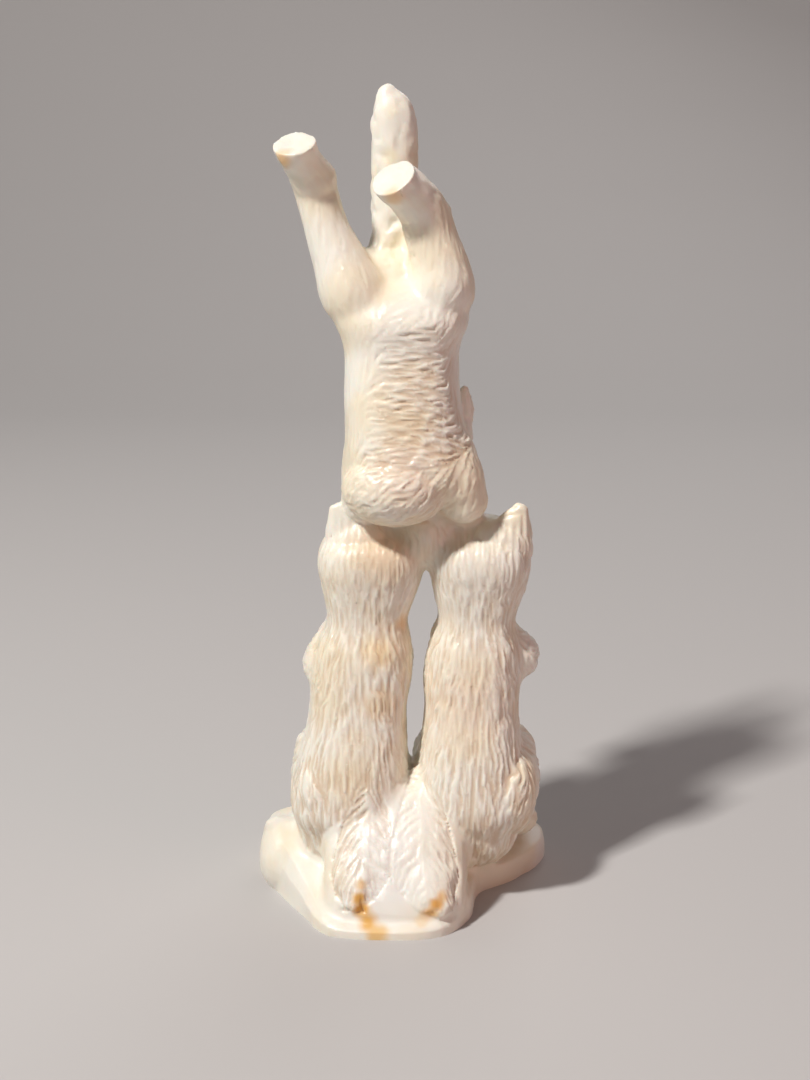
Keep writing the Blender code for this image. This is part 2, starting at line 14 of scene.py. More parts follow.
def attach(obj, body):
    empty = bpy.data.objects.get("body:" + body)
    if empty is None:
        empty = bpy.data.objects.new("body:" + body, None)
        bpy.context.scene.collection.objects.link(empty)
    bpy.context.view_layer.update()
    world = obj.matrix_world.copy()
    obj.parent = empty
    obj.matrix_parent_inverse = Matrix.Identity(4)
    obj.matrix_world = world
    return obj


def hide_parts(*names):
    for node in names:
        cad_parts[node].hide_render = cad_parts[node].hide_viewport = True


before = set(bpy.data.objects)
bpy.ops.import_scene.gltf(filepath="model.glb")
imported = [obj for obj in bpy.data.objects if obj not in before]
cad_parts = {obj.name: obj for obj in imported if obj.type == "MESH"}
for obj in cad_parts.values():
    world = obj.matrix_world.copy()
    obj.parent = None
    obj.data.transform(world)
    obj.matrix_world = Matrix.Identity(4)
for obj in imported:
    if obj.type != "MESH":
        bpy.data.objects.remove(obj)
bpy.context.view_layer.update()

MM = 0.001
NODE = "three_cats_carving"

# The figures' sizes, as in the solid
BASE_WIDTH = 57 * MM
SEAT_HEIGHT = 8 * MM
SEATED_CAT_HEIGHT = 68 * MM
SEATED_CAT_SPACING = 23.6 * MM
TOP_CAT_HEIGHT = 78 * MM

# The canons: how many units each figure is drawn, so that one unit is a share of its own size
SEATED_CANON = 68
TOP_CANON = 78
BASE_CANON = 57
SEATED_UNIT = SEATED_CAT_HEIGHT / SEATED_CANON
TOP_UNIT = TOP_CAT_HEIGHT / TOP_CANON
BASE_UNIT = BASE_WIDTH / BASE_CANON
CROWN = 64
PAIR_MIDDLE = 1 * MM

# How finely the surface is drawn
FORM_VOXEL = 0.6 * MM
DETAIL_VOXEL = 0.26 * MM
FORM_BLEND = 1.4 * MM
DETAIL_BLEND = 0.4 * MM
MOST_TRIANGLES = 196000
RING_SIDES = 28
STEPS_BETWEEN_STATIONS = 4
CAP_STEPS = 4
# A torso's rings have fuller corners than an ellipse, which has a boxiness of 2
BOXINESS = 2.5

# The random draws' start, how many points are worked on at once, and how near the rock the fur ends
SEED = 7
CHUNK = 8192
ROCK_MARGIN = 0.6 * MM

# The gouge strokes: the locks of fur, and the finer hair over them. Width is half of a stroke's own.
LOCK_LENGTH, LOCK_WIDTH, LOCK_DEPTH = 9 * MM, 0.54 * MM, 0.38 * MM
HAIR_LENGTH, HAIR_WIDTH, HAIR_DEPTH = 5 * MM, 0.32 * MM, 0.12 * MM
# How much one stroke differs from the next, as ranges of factors on its length, width and depth
LENGTH_RANGE, WIDTH_RANGE, DEPTH_RANGE = (0.5, 1.3), (0.8, 1.2), (0.7, 1.25)
# One point in so many may start a stroke. Starts are no closer than so many widths side by side, and this
# share of a length in a row.
SEED_SHARE = 5
STROKE_GAP, STROKE_OVERLAP = 1.2, 0.42
# A stroke moves on by a share of its width, at least so many times. Its ends have a share of its full width,
# and the smaller the taper, the longer it stays deep. It wavers less on the tails.
STROKE_STEP, LEAST_STEPS = 0.5, 4
STROKE_END, STROKE_TAPER = 0.4, 0.6
WAVER, TAIL_WAVER = 0.65, 0.15
WAVER_PITCH = 2.4 * MM

# The seated cats' tails: the way the fur parts, the height where it ends, how far from the middle the edge
# begins, the depth there and along the middle of each tail, and the length of a stroke
TAIL_WAY = (0.5, -0.45, -0.75)
TAIL_END = 4.2
TAIL_EDGE, TAIL_EDGE_DEPTH = 0.45, 0.9
TAIL_MIDDLE_DEPTHS = (0.9, 0.5)
TAIL_STROKE = 0.7

# The lines cut into faces and paws, and the hollows of the ears
LINE_WIDTH, LINE_DEPTH, LINE_STEPS = 0.5 * MM, 0.4 * MM, 14
EAR_HOLLOW_WIDTH, EAR_HOLLOW_DEPTH = 2.6 * MM, 1.1 * MM

# Shallow chisel cuts on the raised tail and the rock, and how much one cut differs from the next
FACET_WIDTH, FACET_DEPTH = 2.0 * MM, 0.18 * MM
ROCK_FACET_WIDTH, ROCK_FACET_DEPTH = 3.2 * MM, 0.2 * MM
FACET_WIDTH_RANGE, FACET_DEPTH_RANGE = (0.7, 1.5), (0.3, 1.3)
FACET_TRIES = 8000
FACET_GAP = 1.15
# On the top cat the cuts begin at these heights of its canon and reach this many radii from the middle of
# its tail. They are less deep on the feet.
FEET_START, TAIL_START, FACET_FADE = 57, 46, 4
TAIL_REACH, TAIL_FADE = 1.5, 0.3
FOOT_FACET = 0.6
UNEVEN_PITCH, UNEVEN_DEPTH = 2.6 * MM, 0.7 * MM

# A sole stays smooth, and fur begins this many radii from its middle
SOLE_EDGE, SOLE_FADE = 1.15, 0.3

# Edges below this height are the sharp rim on the ground, and the cut there is this exact
GROUND = 0.01 * MM
WELD = 1e-7

# A face starts this far in front of the middle of its skull and reaches this far from it, in canon units
FACE_START = 2.5
FACE_REACH = 14


def smooth_path(rows, steps=STEPS_BETWEEN_STATIONS):
    """Rows of numbers read from a smooth curve through the given rows."""
    rows = np.array(rows, float)
    padded = np.vstack([2 * rows[0] - rows[1], rows, 2 * rows[-1] - rows[-2]])
    found = []
    for i in range(1, len(padded) - 2):
        before, start, end, after = padded[i - 1 : i + 3]
        for t in np.arange(steps) / steps:
            found.append(
                0.5 * (2 * start + (end - before) * t
                       + (2 * before - 5 * start + 4 * end - after) * t**2
                       + (3 * start - before - 3 * end + after) * t**3)
            )
    found.append(rows[-1])
    return np.array(found)


def squared(share, boxiness):
    """A cosine or sine pushed outwards, so that an ellipse gets fuller corners. At 2 it stays round."""
    return abs(share) ** (2 / boxiness) * (1 if share > 0 else -1)


def sweep(bm, stations, round_end=True, boxiness=2.0, level=False):
    """A closed body along a path. A station is (x, y, z, half-width, half-depth), or (x, y, z, radius).
    The rings lie across the path, or flat where level is set."""
    rows = smooth_path([s if len(s) == 5 else (*s, s[3]) for s in stations])
    centres, radii = rows[:, :3], np.maximum(rows[:, 3:], 0.05)
    tangents = np.gradient(centres, axis=0)
    if level:
        tangents[:] = (0, 0, 1)
    rings = []

    def ring(centre, tangent, width, depth):
        tangent = Vector(tangent).normalized()
        side = Vector((1, 0, 0))
        side = (side - tangent * side.dot(tangent)).normalized()
        other = tangent.cross(side)
        turns = [2 * pi * k / RING_SIDES for k in range(RING_SIDES)]
        across = [width * squared(cos(turn), boxiness) for turn in turns]
        along = [depth * squared(sin(turn), boxiness) for turn in turns]
        return [bm.verts.new(Vector(centre) + side * a + other * b) for a, b in zip(across, along)]

    def cap(index, way):
        """Rings that round off one end, from the end outwards."""
        width, depth = radii[index]
        tangent = Vector(tangents[index]).normalized()
        reach = min(width, depth)
        turns = [0.5 * pi * k / CAP_STEPS for k in range(1, CAP_STEPS)]
        outwards = tangent * way * reach
        return [ring(Vector(centres[index]) + outwards * sin(t), tangent, width * cos(t), depth * cos(t))
                for t in turns]

    rings += reversed(cap(0, -1))
    rings += [ring(c, t, *r) for c, t, r in zip(centres, tangents, radii)]
    if round_end:
        rings += cap(-1, 1)
    for lower, upper in zip(rings, rings[1:]):
        for k in range(RING_SIDES):
            n = (k + 1) % RING_SIDES
            bm.faces.new((lower[k], lower[n], upper[n], upper[k]))
    bm.faces.new(rings[0][::-1])
    bm.faces.new(rings[-1])


def ball(bm, centre, radii, tilt=0.0):
    """An ellipsoid, its upper end tilted towards -Y by tilt radians."""
    turn = Matrix.Rotation(tilt, 4, "X")
    size = Matrix.Diagonal((*radii, 1))
    bmesh.ops.create_icosphere(bm, subdivisions=3, radius=1, matrix=Matrix.Translation(centre) @ turn @ size)


class Place:
    """Where a figure stands: its canon's unit, its origin, and a side of -1 where it is mirrored."""

    def __init__(self, unit, origin, side=1):
        self.unit, self.origin, self.side = unit, Vector(origin), side

    def point(self, co):
        return Vector((co[0] * self.side, co[1], co[2])) * self.unit + self.origin

    def direction(self, way):
        return Vector((way[0] * self.side, way[1], way[2])).normalized()

    def add(self, bm, make, *values):
        """Adds what make models, moved out of the canon to this place."""
        first = len(bm.verts)
        make(bm, *values)
        bm.verts.ensure_lookup_table()
        for vert in bm.verts[first:]:
            vert.co = self.point(vert.co)


# The seated cat, in units of its canon, from its seat: height, half-width, y and half-depth of its torso.
# X runs outwards, away from the other seated cat.
SEATED_TORSO = [
    (6, 9.8, -0.8, 11.4),
    (10, 10.9, -1.3, 12.3),
    (16, 10.6, -1.5, 11.3),
    (23, 9.6, -1.2, 10.2),
    (29, 9.0, -0.6, 9.4),
    (35, 9.3, -0.1, 9.4),
    (41, 8.7, 0.0, 8.7),
    (46, 7.4, 0.2, 7.4),
    (52, 8.8, -0.2, 7.7),
    (57, 9.6, -0.8, 7.9),
    (61, 8.6, -0.4, 7.0),
    (63, 6.0, 0.4, 3.0),
]
LEAN_END = 53
INNER_ELBOW_HEIGHT = 37.5


class SeatedPose:
    """How one seated cat differs from the other, in units of its canon. Lean is how far out the head is."""

    def __init__(self, lean, lean_start, girth, ear_out, knee_out, knee_in,
                 elbow_out, elbow_in, elbow_height):
        self.lean, self.lean_start, self.girth, self.ear_out = lean, lean_start, girth, ear_out
        self.knee_out, self.knee_in = knee_out, knee_in
        self.elbow_out, self.elbow_in, self.elbow_height = elbow_out, elbow_in, elbow_height

    def spine(self, height):
        return self.lean * min(max((height - self.lean_start) / (LEAN_END - self.lean_start), 0), 1)


LEFT_POSE = SeatedPose(lean=-4.6, lean_start=8, girth=1.04, ear_out=6.0, knee_out=5.4, knee_in=4.4,
                       elbow_out=7.8, elbow_in=5.9, elbow_height=36.5)
RIGHT_POSE = SeatedPose(lean=1.3, lean_start=34, girth=1.0, ear_out=7.3, knee_out=7.8, knee_in=5.6,
                        elbow_out=9.0, elbow_in=4.4, elbow_height=38.3)
LEFT_PLACE = Place(SEATED_UNIT, (PAIR_MIDDLE - SEATED_CAT_SPACING / 2, 0, SEAT_HEIGHT), side=-1)
RIGHT_PLACE = Place(SEATED_UNIT, (PAIR_MIDDLE + SEATED_CAT_SPACING / 2, 0, SEAT_HEIGHT))
TOP_PLACE = Place(TOP_UNIT, (0, 0, SEAT_HEIGHT + CROWN * SEATED_UNIT))
BASE_PLACE = Place(BASE_UNIT, (0, 0, 0))


def head_forms(bm, skull):
    """Cheeks, muzzle, chin and brow on a skull whose middle is given. A head faces +Y."""
    x, y, z = skull
    for way in (1, -1):
        ball(bm, (x + way * 5.2, y + 3.4, z - 3.4), (3.9, 4.0, 3.7))
        ball(bm, (x + way * 1.9, y + 8.4, z - 3.2), (2.7, 2.4, 2.3))
    ball(bm, (x, y + 6.6, z - 2.4), (4.4, 3.8, 4.0))
    ball(bm, (x, y + 6.6, z - 5.6), (2.7, 3.0, 2.2))


def head_details(bm, skull):
    """Eyes and nose."""
    x, y, z = skull
    for way in (1, -1):
        ball(bm, (x + way * 3.9, y + 6.6, z + 1.5), (1.9, 1.5, 1.5))
    ball(bm, (x, y + 10.2, z - 1.3), (1.4, 1.0, 1.0))


def seated_skull(pose):
    return pose.lean, 1.8, 56.5


def seated_forms(bm, pose):
    """Body, head and limbs of a seated cat."""
    torso = [(pose.spine(z), y, z, width * pose.girth, depth) for z, width, y, depth in SEATED_TORSO]
    sweep(bm, torso, boxiness=BOXINESS, level=True)
    ball(bm, seated_skull(pose), (9.8, 8.8, 8.4))
    head_forms(bm, seated_skull(pose))
    ball(bm, (pose.spine(44), 3.4, 41.0), (7.6, 7.0, 8.0))
    ball(bm, (pose.spine(20), 3.6, 20.0), (8.4, 8.4, 15.0))
    chest = pose.spine(38)
    elbows = ((1, pose.elbow_out, pose.elbow_height), (-1, pose.elbow_in, INNER_ELBOW_HEIGHT))
    for way, reach, height in elbows:
        shoulder = (chest + way * 4.2, 1.0, 42.5, 4.0)
        elbow = (chest + way * reach, 1.8, height, 4.0)
        wrist = (chest + way * 4.6, 9.2, height + 1.6, 3.1)
        paw = (chest + way * 2.9, 11.6, height + 3.4, 3.1)
        sweep(bm, [shoulder, elbow, wrist, paw])
    ball(bm, (chest + pose.elbow_out - 0.4, 1.0, pose.elbow_height - 0.4), (4.2, 4.4, 4.6))
    for way, reach in ((1, pose.knee_out), (-1, pose.knee_in)):
        ball(bm, (way * reach, 2.0, 13.0), (5.9, 10.0, 9.8), tilt=-0.35)
        ball(bm, (way * (reach + 0.9), 8.6, 14.4), (4.9, 5.6, 7.0))
        sweep(bm, [(way * (reach + 1.6), 5, 2.6, 4.4, 3.4), (way * (reach + 1.4), 10.5, 2.4, 4.2, 3.2),
                   (way * (reach + 1.0), 14.6, 2.2, 4.6, 3.3)])


def seated_details(bm, pose):
    """Ears, the fold of the outer thigh, and the crown that rises towards the outer ear. The outer ear shows
    behind the top cat's foreleg and the inner one in front of it."""
    head_details(bm, seated_skull(pose))
    ball(bm, (pose.knee_out - 0.4, -3.6, 13.0), (5.4, 8.8, 9.2))
    ball(bm, (pose.lean + pose.ear_out - 3.6, -2.4, 60.0), (6.2, 3.8, 5.6))
    for way, y in ((1, -1.8), (-1, 3.6)):
        tip = pose.lean + way * pose.ear_out
        sweep(bm, [(tip - way * 2.0, y, 60.0, 4.4, 3.2), (tip - way * 1.2, y - 0.6, 64.2, 3.6, 2.2),
                   (tip, y - 1.0, 67.7, 1.6, 1.0)])


# The top cat's torso, in units of its canon, from the heads that it stands on: height, x, half-width, y and
# half-depth. Its belly is on the -Y side.
TOP_TORSO = [
    (3, 1.5, 6.0, 1.0, 5.0),
    (7, 1.5, 10.4, 0.2, 8.6),
    (12, 1.2, 12.0, -1.0, 11.0),
    (18, 0.3, 11.1, -0.5, 10.6),
    (24, -0.3, 10.6, 0.0, 10.0),
    (31, -0.4, 10.4, 0.6, 9.2),
    (34, -0.4, 10.9, 0.7, 9.2),
    (37.6, -0.5, 12.3, 0.9, 9.5),
    (41, -1.0, 12.2, 1.8, 8.5),
    (43.6, -1.7, 10.2, 2.9, 6.7),
    (45.6, -2.0, 6.4, 4.8, 4.0),
]
TOP_HEAD = (4.5, 12.0, 13.8)

# The chest and the near foreleg's shoulder hang over the seated cats' heads
CHEST, CHEST_RADII = (-1.5, -6.8, 8.4), (9.9, 7.0, 7.2)
FORELEG_LOBE = [(7.2, -3.4, 14.5, 5.6), (9.2, -4.8, 9.5, 5.5), (10.8, -4.6, 5.9, 4.6)]


# The raised hind legs, each as a path from the hip to the flat sole
LEFT_HIND_LEG = [
    (-6.6, -1.2, 39, 5.4),
    (-9.2, -0.8, 43, 6.1),
    (-11.5, -0.3, 48.5, 4.9),
    (-13.7, 0.2, 54, 4.1),
    (-15.2, 0.6, 59.5, 4.0),
    (-15.8, -0.2, 62, 4.3),
    (-17.3, -2.4, 64.8, 3.6),
    (-18.4, -3.8, 66.8, 3.8),
    (-18.7, -4.7, 68.4, 3.9),
]
RIGHT_HIND_LEG = [
    (5.6, -0.8, 39, 5.0),
    (6.8, -0.6, 43, 6.1),
    (6.4, -0.4, 47.5, 5.2),
    (5.2, -0.3, 51, 4.8),
    (4.2, -0.4, 54.5, 4.7),
    (2.9, -1.6, 57.6, 4.5),
    (0.7, -3.8, 60.2, 4.1),
    (-1.2, -5.4, 61.8, 4.1),
    (-1.9, -6.2, 62.8, 4.2),
]
FOOT_STATIONS = 4
HOCK = (5.3, -0.2, 56.6)
TOP_TAIL = [
    (-2.2, 5.6, 44, 5.0),
    (-2.0, 6.5, 52, 4.3, 3.8),
    (-1.8, 7.0, 60, 4.4, 3.9),
    (-1.6, 7.0, 68, 4.4, 3.6),
    (-2.1, 6.8, 73.6, 4.1, 3.0),
    (-3.2, 6.6, 77.2, 2.0, 1.4),
]


def top_forms(bm):
    """Body, head and limbs of the cat that stands on the others, and the joined cheeks under its chest."""
    sweep(bm, [(x, y, z, width, depth) for z, x, width, y, depth in TOP_TORSO], boxiness=BOXINESS,
          level=True)
    ball(bm, (3.7, -0.5, -2.0), (5.0, 6.0, 6.0))
    ball(bm, (6.4, 0.6, 3.4), (5.4, 5.2, 5.0))
    ball(bm, (-2.0, 4.4, 43.4), (9.8, 6.0, 6.6))
    ball(bm, (-7.2, 3.6, 48.2), (2.4, 2.4, 2.4))
    x, y, z = TOP_HEAD
    sweep(bm, [(0.5, 2, 11, 9.6), (3.2, 8, z - 0.4, 8.0)])
    ball(bm, TOP_HEAD, (8.9, 8.2, 8.2))
    head_forms(bm, TOP_HEAD)
    ball(bm, (6.0, -5.0, 10.8), (5.8, 6.8, 6.4))
    sweep(bm, FORELEG_LOBE)
    sweep(bm, [(8.0, -1.0, 13, 5.4), (10.0, -2.0, 5.6, 4.6), (11.0, 2.5, 1.5, 3.3), (11.2, 9.0, 1.0, 3.1)])
    sweep(bm, [(-6.0, -1.5, 13, 5.4), (-7.0, -2.5, 5.5, 4.6), (-8.0, 2.5, 2.5, 3.6), (-8.0, 9.0, 1.6, 3.3)])
    sweep(bm, LEFT_HIND_LEG, False)
    sweep(bm, RIGHT_HIND_LEG, False)
    sweep(bm, TOP_TAIL)


def top_details(bm):
    """The ears stand upright, because the head is lifted. The feet end in flat soles with a crisp edge."""
    x, y, z = TOP_HEAD
    head_details(bm, TOP_HEAD)
    ball(bm, CHEST, CHEST_RADII)
    ball(bm, HOCK, (3.2, 3.2, 2.6))
    sweep(bm, FORELEG_LOBE)
    sweep(bm, LEFT_HIND_LEG[-FOOT_STATIONS:], False)
    sweep(bm, RIGHT_HIND_LEG[-FOOT_STATIONS:], False)
    for way in (1, -1):
        sweep(bm, [(x + way * 5.0, y - 0.6, z + 3.4, 3.8, 2.4), (x + way * 6.2, y - 1.2, z + 6.8, 2.7, 1.5),
                   (x + way * 6.9, y - 1.8, z + 9.8, 0.9, 0.7)])


# The rock's edge in plan, in units of its canon, from the left round by the near side: x, y, the rock's
# height there and how far its upper edge is bevelled
BASE_EDGE = [
    (-28.2, 4.0, 12.0, 3.0),
    (-24.0, -6.0, 11.0, 3.4),
    (-19.0, -15.0, 6.4, 4.0),
    (-14.0, -22.5, 3.0, 3.4),
    (-3.0, -24.2, 2.4, 2.8),
    (6.8, -23.0, 3.0, 2.4),
    (12.4, -16.0, 5.0, 1.2),
    (14.4, -6.0, 5.0, 0.8),
    (21.0, -0.8, 4.4, 0.6),
    (27.4, 7.4, 4.8, 0.6),
    (27.8, 15.0, 5.6, 1.0),
    (19.0, 22.0, 6.4, 2.0),
    (2.0, 23.0, 6.8, 2.4),
    (-16.0, 22.0, 8.0, 2.6),
    (-26.0, 13.5, 10.0, 3.0),
]
BASE_BELOW = 4
BASE_TOP = 9

# The two seated cats' tails, lying down the near slope of the rock
SEATED_TAILS = [
    [(-6.4, -6.0, 25.0, 2.2, 1.8), (-6.6, -8.4, 21.0, 3.6, 2.0), (-7.1, -11.5, 16.6, 4.9, 2.5),
     (-8.0, -16.0, 11.0, 5.6, 3.0), (-8.8, -19.0, 7.2, 4.2, 2.6), (-9.2, -20.5, 5.4, 2.2, 1.7)],
    [(3.2, -5.0, 24.5, 2.2, 1.8), (3.2, -8.0, 20.6, 4.0, 2.0), (3.4, -11.5, 16.0, 5.6, 2.6),
     (3.8, -16.2, 10.6, 6.4, 3.1), (5.2, -19.2, 7.0, 5.2, 2.8), (7.2, -20.6, 5.0, 2.8, 2.1)],
]


def base_forms(bm):
    """The rock: a low slab with a wandering edge, and the slope that the two tails lie on."""
    edge = smooth_path(BASE_EDGE + BASE_EDGE[:1])[:-1]
    plan, heights, bevels = edge[:, :2], edge[:, 2], edge[:, 3:]
    inward = -plan / np.linalg.norm(plan, axis=1)[:, None]
    levels = [
        (plan, np.full(len(plan), -BASE_BELOW)),
        (plan, heights * 0.6),
        (plan + inward * bevels * 0.35, heights * 0.9),
        (plan + inward * bevels, heights),
    ]
    rings = [[bm.verts.new((x, y, z)) for (x, y), z in zip(points, tops)] for points, tops in levels]
    for lower, upper in zip(rings, rings[1:]):
        for k in range(len(lower)):
            n = (k + 1) % len(lower)
            bm.faces.new((lower[k], lower[n], upper[n], upper[k]))
    bm.faces.new(rings[0][::-1])
    top = bm.verts.new((0, 0, BASE_TOP))
    for k, vert in enumerate(rings[-1]):
        bm.faces.new((vert, rings[-1][(k + 1) % len(rings[-1])], top))
    sweep(bm, [(-1, -6, 18, 11.5, 6), (-1.5, -11.4, 11, 13.4, 7.0), (-1.8, -16.2, 3, 13.4, 6.0)], boxiness=3)
    ball(bm, (-23, 1, 5), (5.5, 8, 7.5))


def tail_forms(bm):
    """The two seated cats' tails."""
    for stations in SEATED_TAILS:
        sweep(bm, stations)


def evaluated(obj):
    """The object's mesh with its modifiers applied."""
    bpy.context.view_layer.update()
    graph = bpy.context.evaluated_depsgraph_get()
    return bpy.data.meshes.new_from_object(obj.evaluated_get(graph))


def changed(mesh, *modifiers):
    """The mesh after modifiers, each a type and its settings."""
    obj = bpy.data.objects.new("worked", mesh)
    bpy.context.scene.collection.objects.link(obj)
    for kind, settings in modifiers:
        modifier = obj.modifiers.new(kind, kind)
        for name, value in settings.items():
            setattr(modifier, name, value)
    result = evaluated(obj)
    bpy.data.objects.remove(obj)
    return result


def fused(bm, voxel, blend):
    """One skin round all the closed bodies in bm, with the creases between them filled over about blend."""
    mesh = bpy.data.meshes.new("bodies")
    bm.to_mesh(mesh)
    bm.free()
    passes = max(1, round(2 * (blend / voxel) ** 2))
    return changed(mesh, ("REMESH", {"mode": "VOXEL", "voxel_size": voxel}),
                   ("SMOOTH", {"factor": 0.5, "iterations": passes}))


# Which way the fur lies and how deep its strokes are: a point on the figure, the way the hair runs there,
# the depth as a share of the deepest, and the length as a share of the longest. In units of each canon.
SEATED_COMB = [
    ((0, -12, 8), (0, -0.3, -1), 1.0, 1.0),
    ((0, -10, 20), (0.05, 0, -1), 0.85, 1.0),
    ((0, -10, 28), (0, 0, -1), 0.75, 0.9),
    ((7, -8, 36), (0.45, 0, -1), 0.8, 0.7),
    ((-7, -8, 36), (-0.35, 0, -1), 0.8, 0.7),
    ((0, -9, 40), (0, 0, -1), 0.7, 0.8),
    ((5, -8, 45), (0.3, 0, -1), 0.8, 0.7),
    ((-5, -8, 45), (-0.3, 0, -1), 0.8, 0.7),
    ((0, -8, 50), (0, 0, -1), 0.7, 0.8),
    ((5, -7, 57), (-0.15, 0, -1), 0.7, 0.8),
    ((-5, -7, 57), (0.1, 0, -1), 0.7, 0.7),
    ((0, -7, 60), (0, 0, -1), 0.5, 0.7),
    ((11, 0, 30), (0.1, 0.2, -1), 0.7, 0.8),
    ((-10, 0, 30), (0, 0.2, -1), 0.5, 0.8),
    ((10, 1, 56), (0, -0.3, -1), 0.7, 0.9),
    ((-10, 1, 56), (0, -0.3, -1), 0.4, 0.8),
    ((9, -10, 14), (-0.5, 0, -1), 0.9, 0.8),
    ((12, -6, 17), (-0.4, 0.2, -1), 0.9, 0.8),
    ((12, 0, 18), (0.1, 0.5, -0.8), 0.8, 0.9),
    ((-10, 0, 18), (0, 0.5, -0.8), 0.5, 0.8),
    ((8, 14, 4), (0, 1, -0.1), 0.1, 0.5),
    ((-7, 14, 4), (0, 1, -0.1), 0.1, 0.5),
    ((0, 9, 46), (0, 0.1, -1), 0.6, 0.7),
    ((0, 9, 28), (0, 0.1, -1), 0.6, 0.9),
    ((9, 4, 37), (-0.4, 0.9, 0.2), 0.15, 0.6),
    ((-8, 4, 37), (0.4, 0.9, 0.2), 0.15, 0.6),
    ((0, 9, 62), (0, -0.6, 0.8), 0.4, 0.5),
    ((7, 7, 54), (0.8, -0.5, -0.4), 0.4, 0.5),
    ((-7, 7, 54), (-0.8, -0.5, -0.4), 0.4, 0.5),
]
TOP_COMB = [
    ((-3, -10, 16), (1, 0, 0.1), 0.9, 0.5),
    ((5, -10, 16), (1, 0, -0.25), 1.0, 0.6),
    ((-3, -10, 22), (1, 0, -0.1), 0.9, 0.55),
    ((5, -10, 23), (1, 0, -0.2), 0.9, 0.5),
    ((-1, -10, 29), (1, 0, 0), 0.95, 0.55),
    ((1, -9, 35), (1, 0, 0.1), 0.7, 0.55),
    ((-7, -8, 41), (-0.5, 0, 1), 0.3, 0.8),
    ((5, -8, 41), (0.4, 0, 1), 0.3, 0.8),
    ((0, -8, 39), (0.7, 0, 0.6), 0.2, 0.5),
    ((-1, -6, 43), (0.3, 0, 1), 0.1, 0.6),
    ((-11, -4, 24), (0, 0.1, 1), 0.25, 1.0),
    ((-9, -8, 20), (0.15, 0, 1), 0.3, 0.8),
    ((-9, -8, 30), (0.1, 0, 1), 0.25, 0.8),
    ((11, -2, 24), (0.1, 0, 1), 0.3, 0.9),
    ((-12, -3, 12), (-0.2, 0, 1), 0.35, 0.8),
    ((2, -12, 8), (0.7, 0, 0.6), 0.8, 0.7),
    ((5, -11, 10), (0.6, 0, 0.8), 0.7, 0.8),
    ((-6, -9, 6), (0.8, 0, 0.5), 0.5, 0.4),
    ((10, -9, 9), (0.45, 0, 1), 0.5, 0.6),
    ((13, -7, 6), (0.3, 0, 1), 0.35, 0.6),
    ((0, 10, 24), (0, 0, 1), 0.8, 0.9),
    ((-2, 9, 42), (0, 0, 1), 0.5, 0.8),
    ((-13, -3, 54), (-0.1, 0, 1), 0.35, 1.0),
    ((-17, -4, 65), (-0.45, -0.6, 0.6), 0.06, 0.7),
    ((6, -4, 52), (-0.1, 0, 1), 0.35, 1.0),
    ((1, -4, 60), (-0.5, -0.8, 0.4), 0.05, 0.7),
    ((-2, 7, 50), (0, 0, 1), 0.12, 0.6),
    ((-2, 7, 62), (0, 0, 1), 0.08, 0.6),
    ((-2, 7, 74), (0, 0, 1), 0.08, 0.6),
    ((4, 17, 20), (0, -0.7, 0.7), 0.4, 0.5),
    ((12, 16, 12), (0.8, -0.6, -0.1), 0.4, 0.5),
    ((-3, 16, 12), (-0.8, -0.6, -0.1), 0.4, 0.5),
    ((12, 5, 3), (0, 1, -0.2), 0.1, 0.5),
    ((-8, 5, 3), (0, 1, -0.2), 0.1, 0.5),
]


def combed_guides():
    """Every guide in metres, as points, directions, depth shares and length shares."""
    guides = [(place.point(at), place.direction(way), depth, length)
              for place in (LEFT_PLACE, RIGHT_PLACE) for at, way, depth, length in SEATED_COMB]
    guides += [(TOP_PLACE.point(at), TOP_PLACE.direction(way), d, n) for at, way, d, n in TOP_COMB]
    return [np.array(column) for column in zip(*guides)]


def tail_coats(points):
    """For each seated cat's tail: which points are on it, how far they are beside its middle as a share of
    its width, and the way the fur parts there, down and out."""
    x, y, z = (points / BASE_UNIT).T
    for stations in SEATED_TAILS:
        rows = smooth_path(stations)[::-1]
        beside = (x - np.interp(z, rows[:, 2], rows[:, 0])) / np.interp(z, rows[:, 2], rows[:, 3])
        on = (abs(beside) < 1) & (z > TAIL_END) & (z < rows[-1, 2])
        on &= y < np.interp(z, rows[:, 2], rows[:, 1])
        ways = np.tile(TAIL_WAY, (len(points), 1))
        ways[:, 0] *= np.where(beside > 0, 1, -1)
        yield on, beside, ways


def read_mesh(mesh):
    """The places and normals of all points."""
    points = np.empty(len(mesh.vertices) * 3, np.float32)
    mesh.vertices.foreach_get("co", points)
    normals = np.empty(len(mesh.vertices) * 3, np.float32)
    mesh.vertex_normals.foreach_get("vector", normals)
    return points.reshape(-1, 3).astype(float), normals.reshape(-1, 3).astype(float)


def write_points(mesh, points):
    """Moves the mesh's points to new places."""
    mesh.vertices.foreach_set("co", points.astype(np.float32).ravel())
    mesh.update()


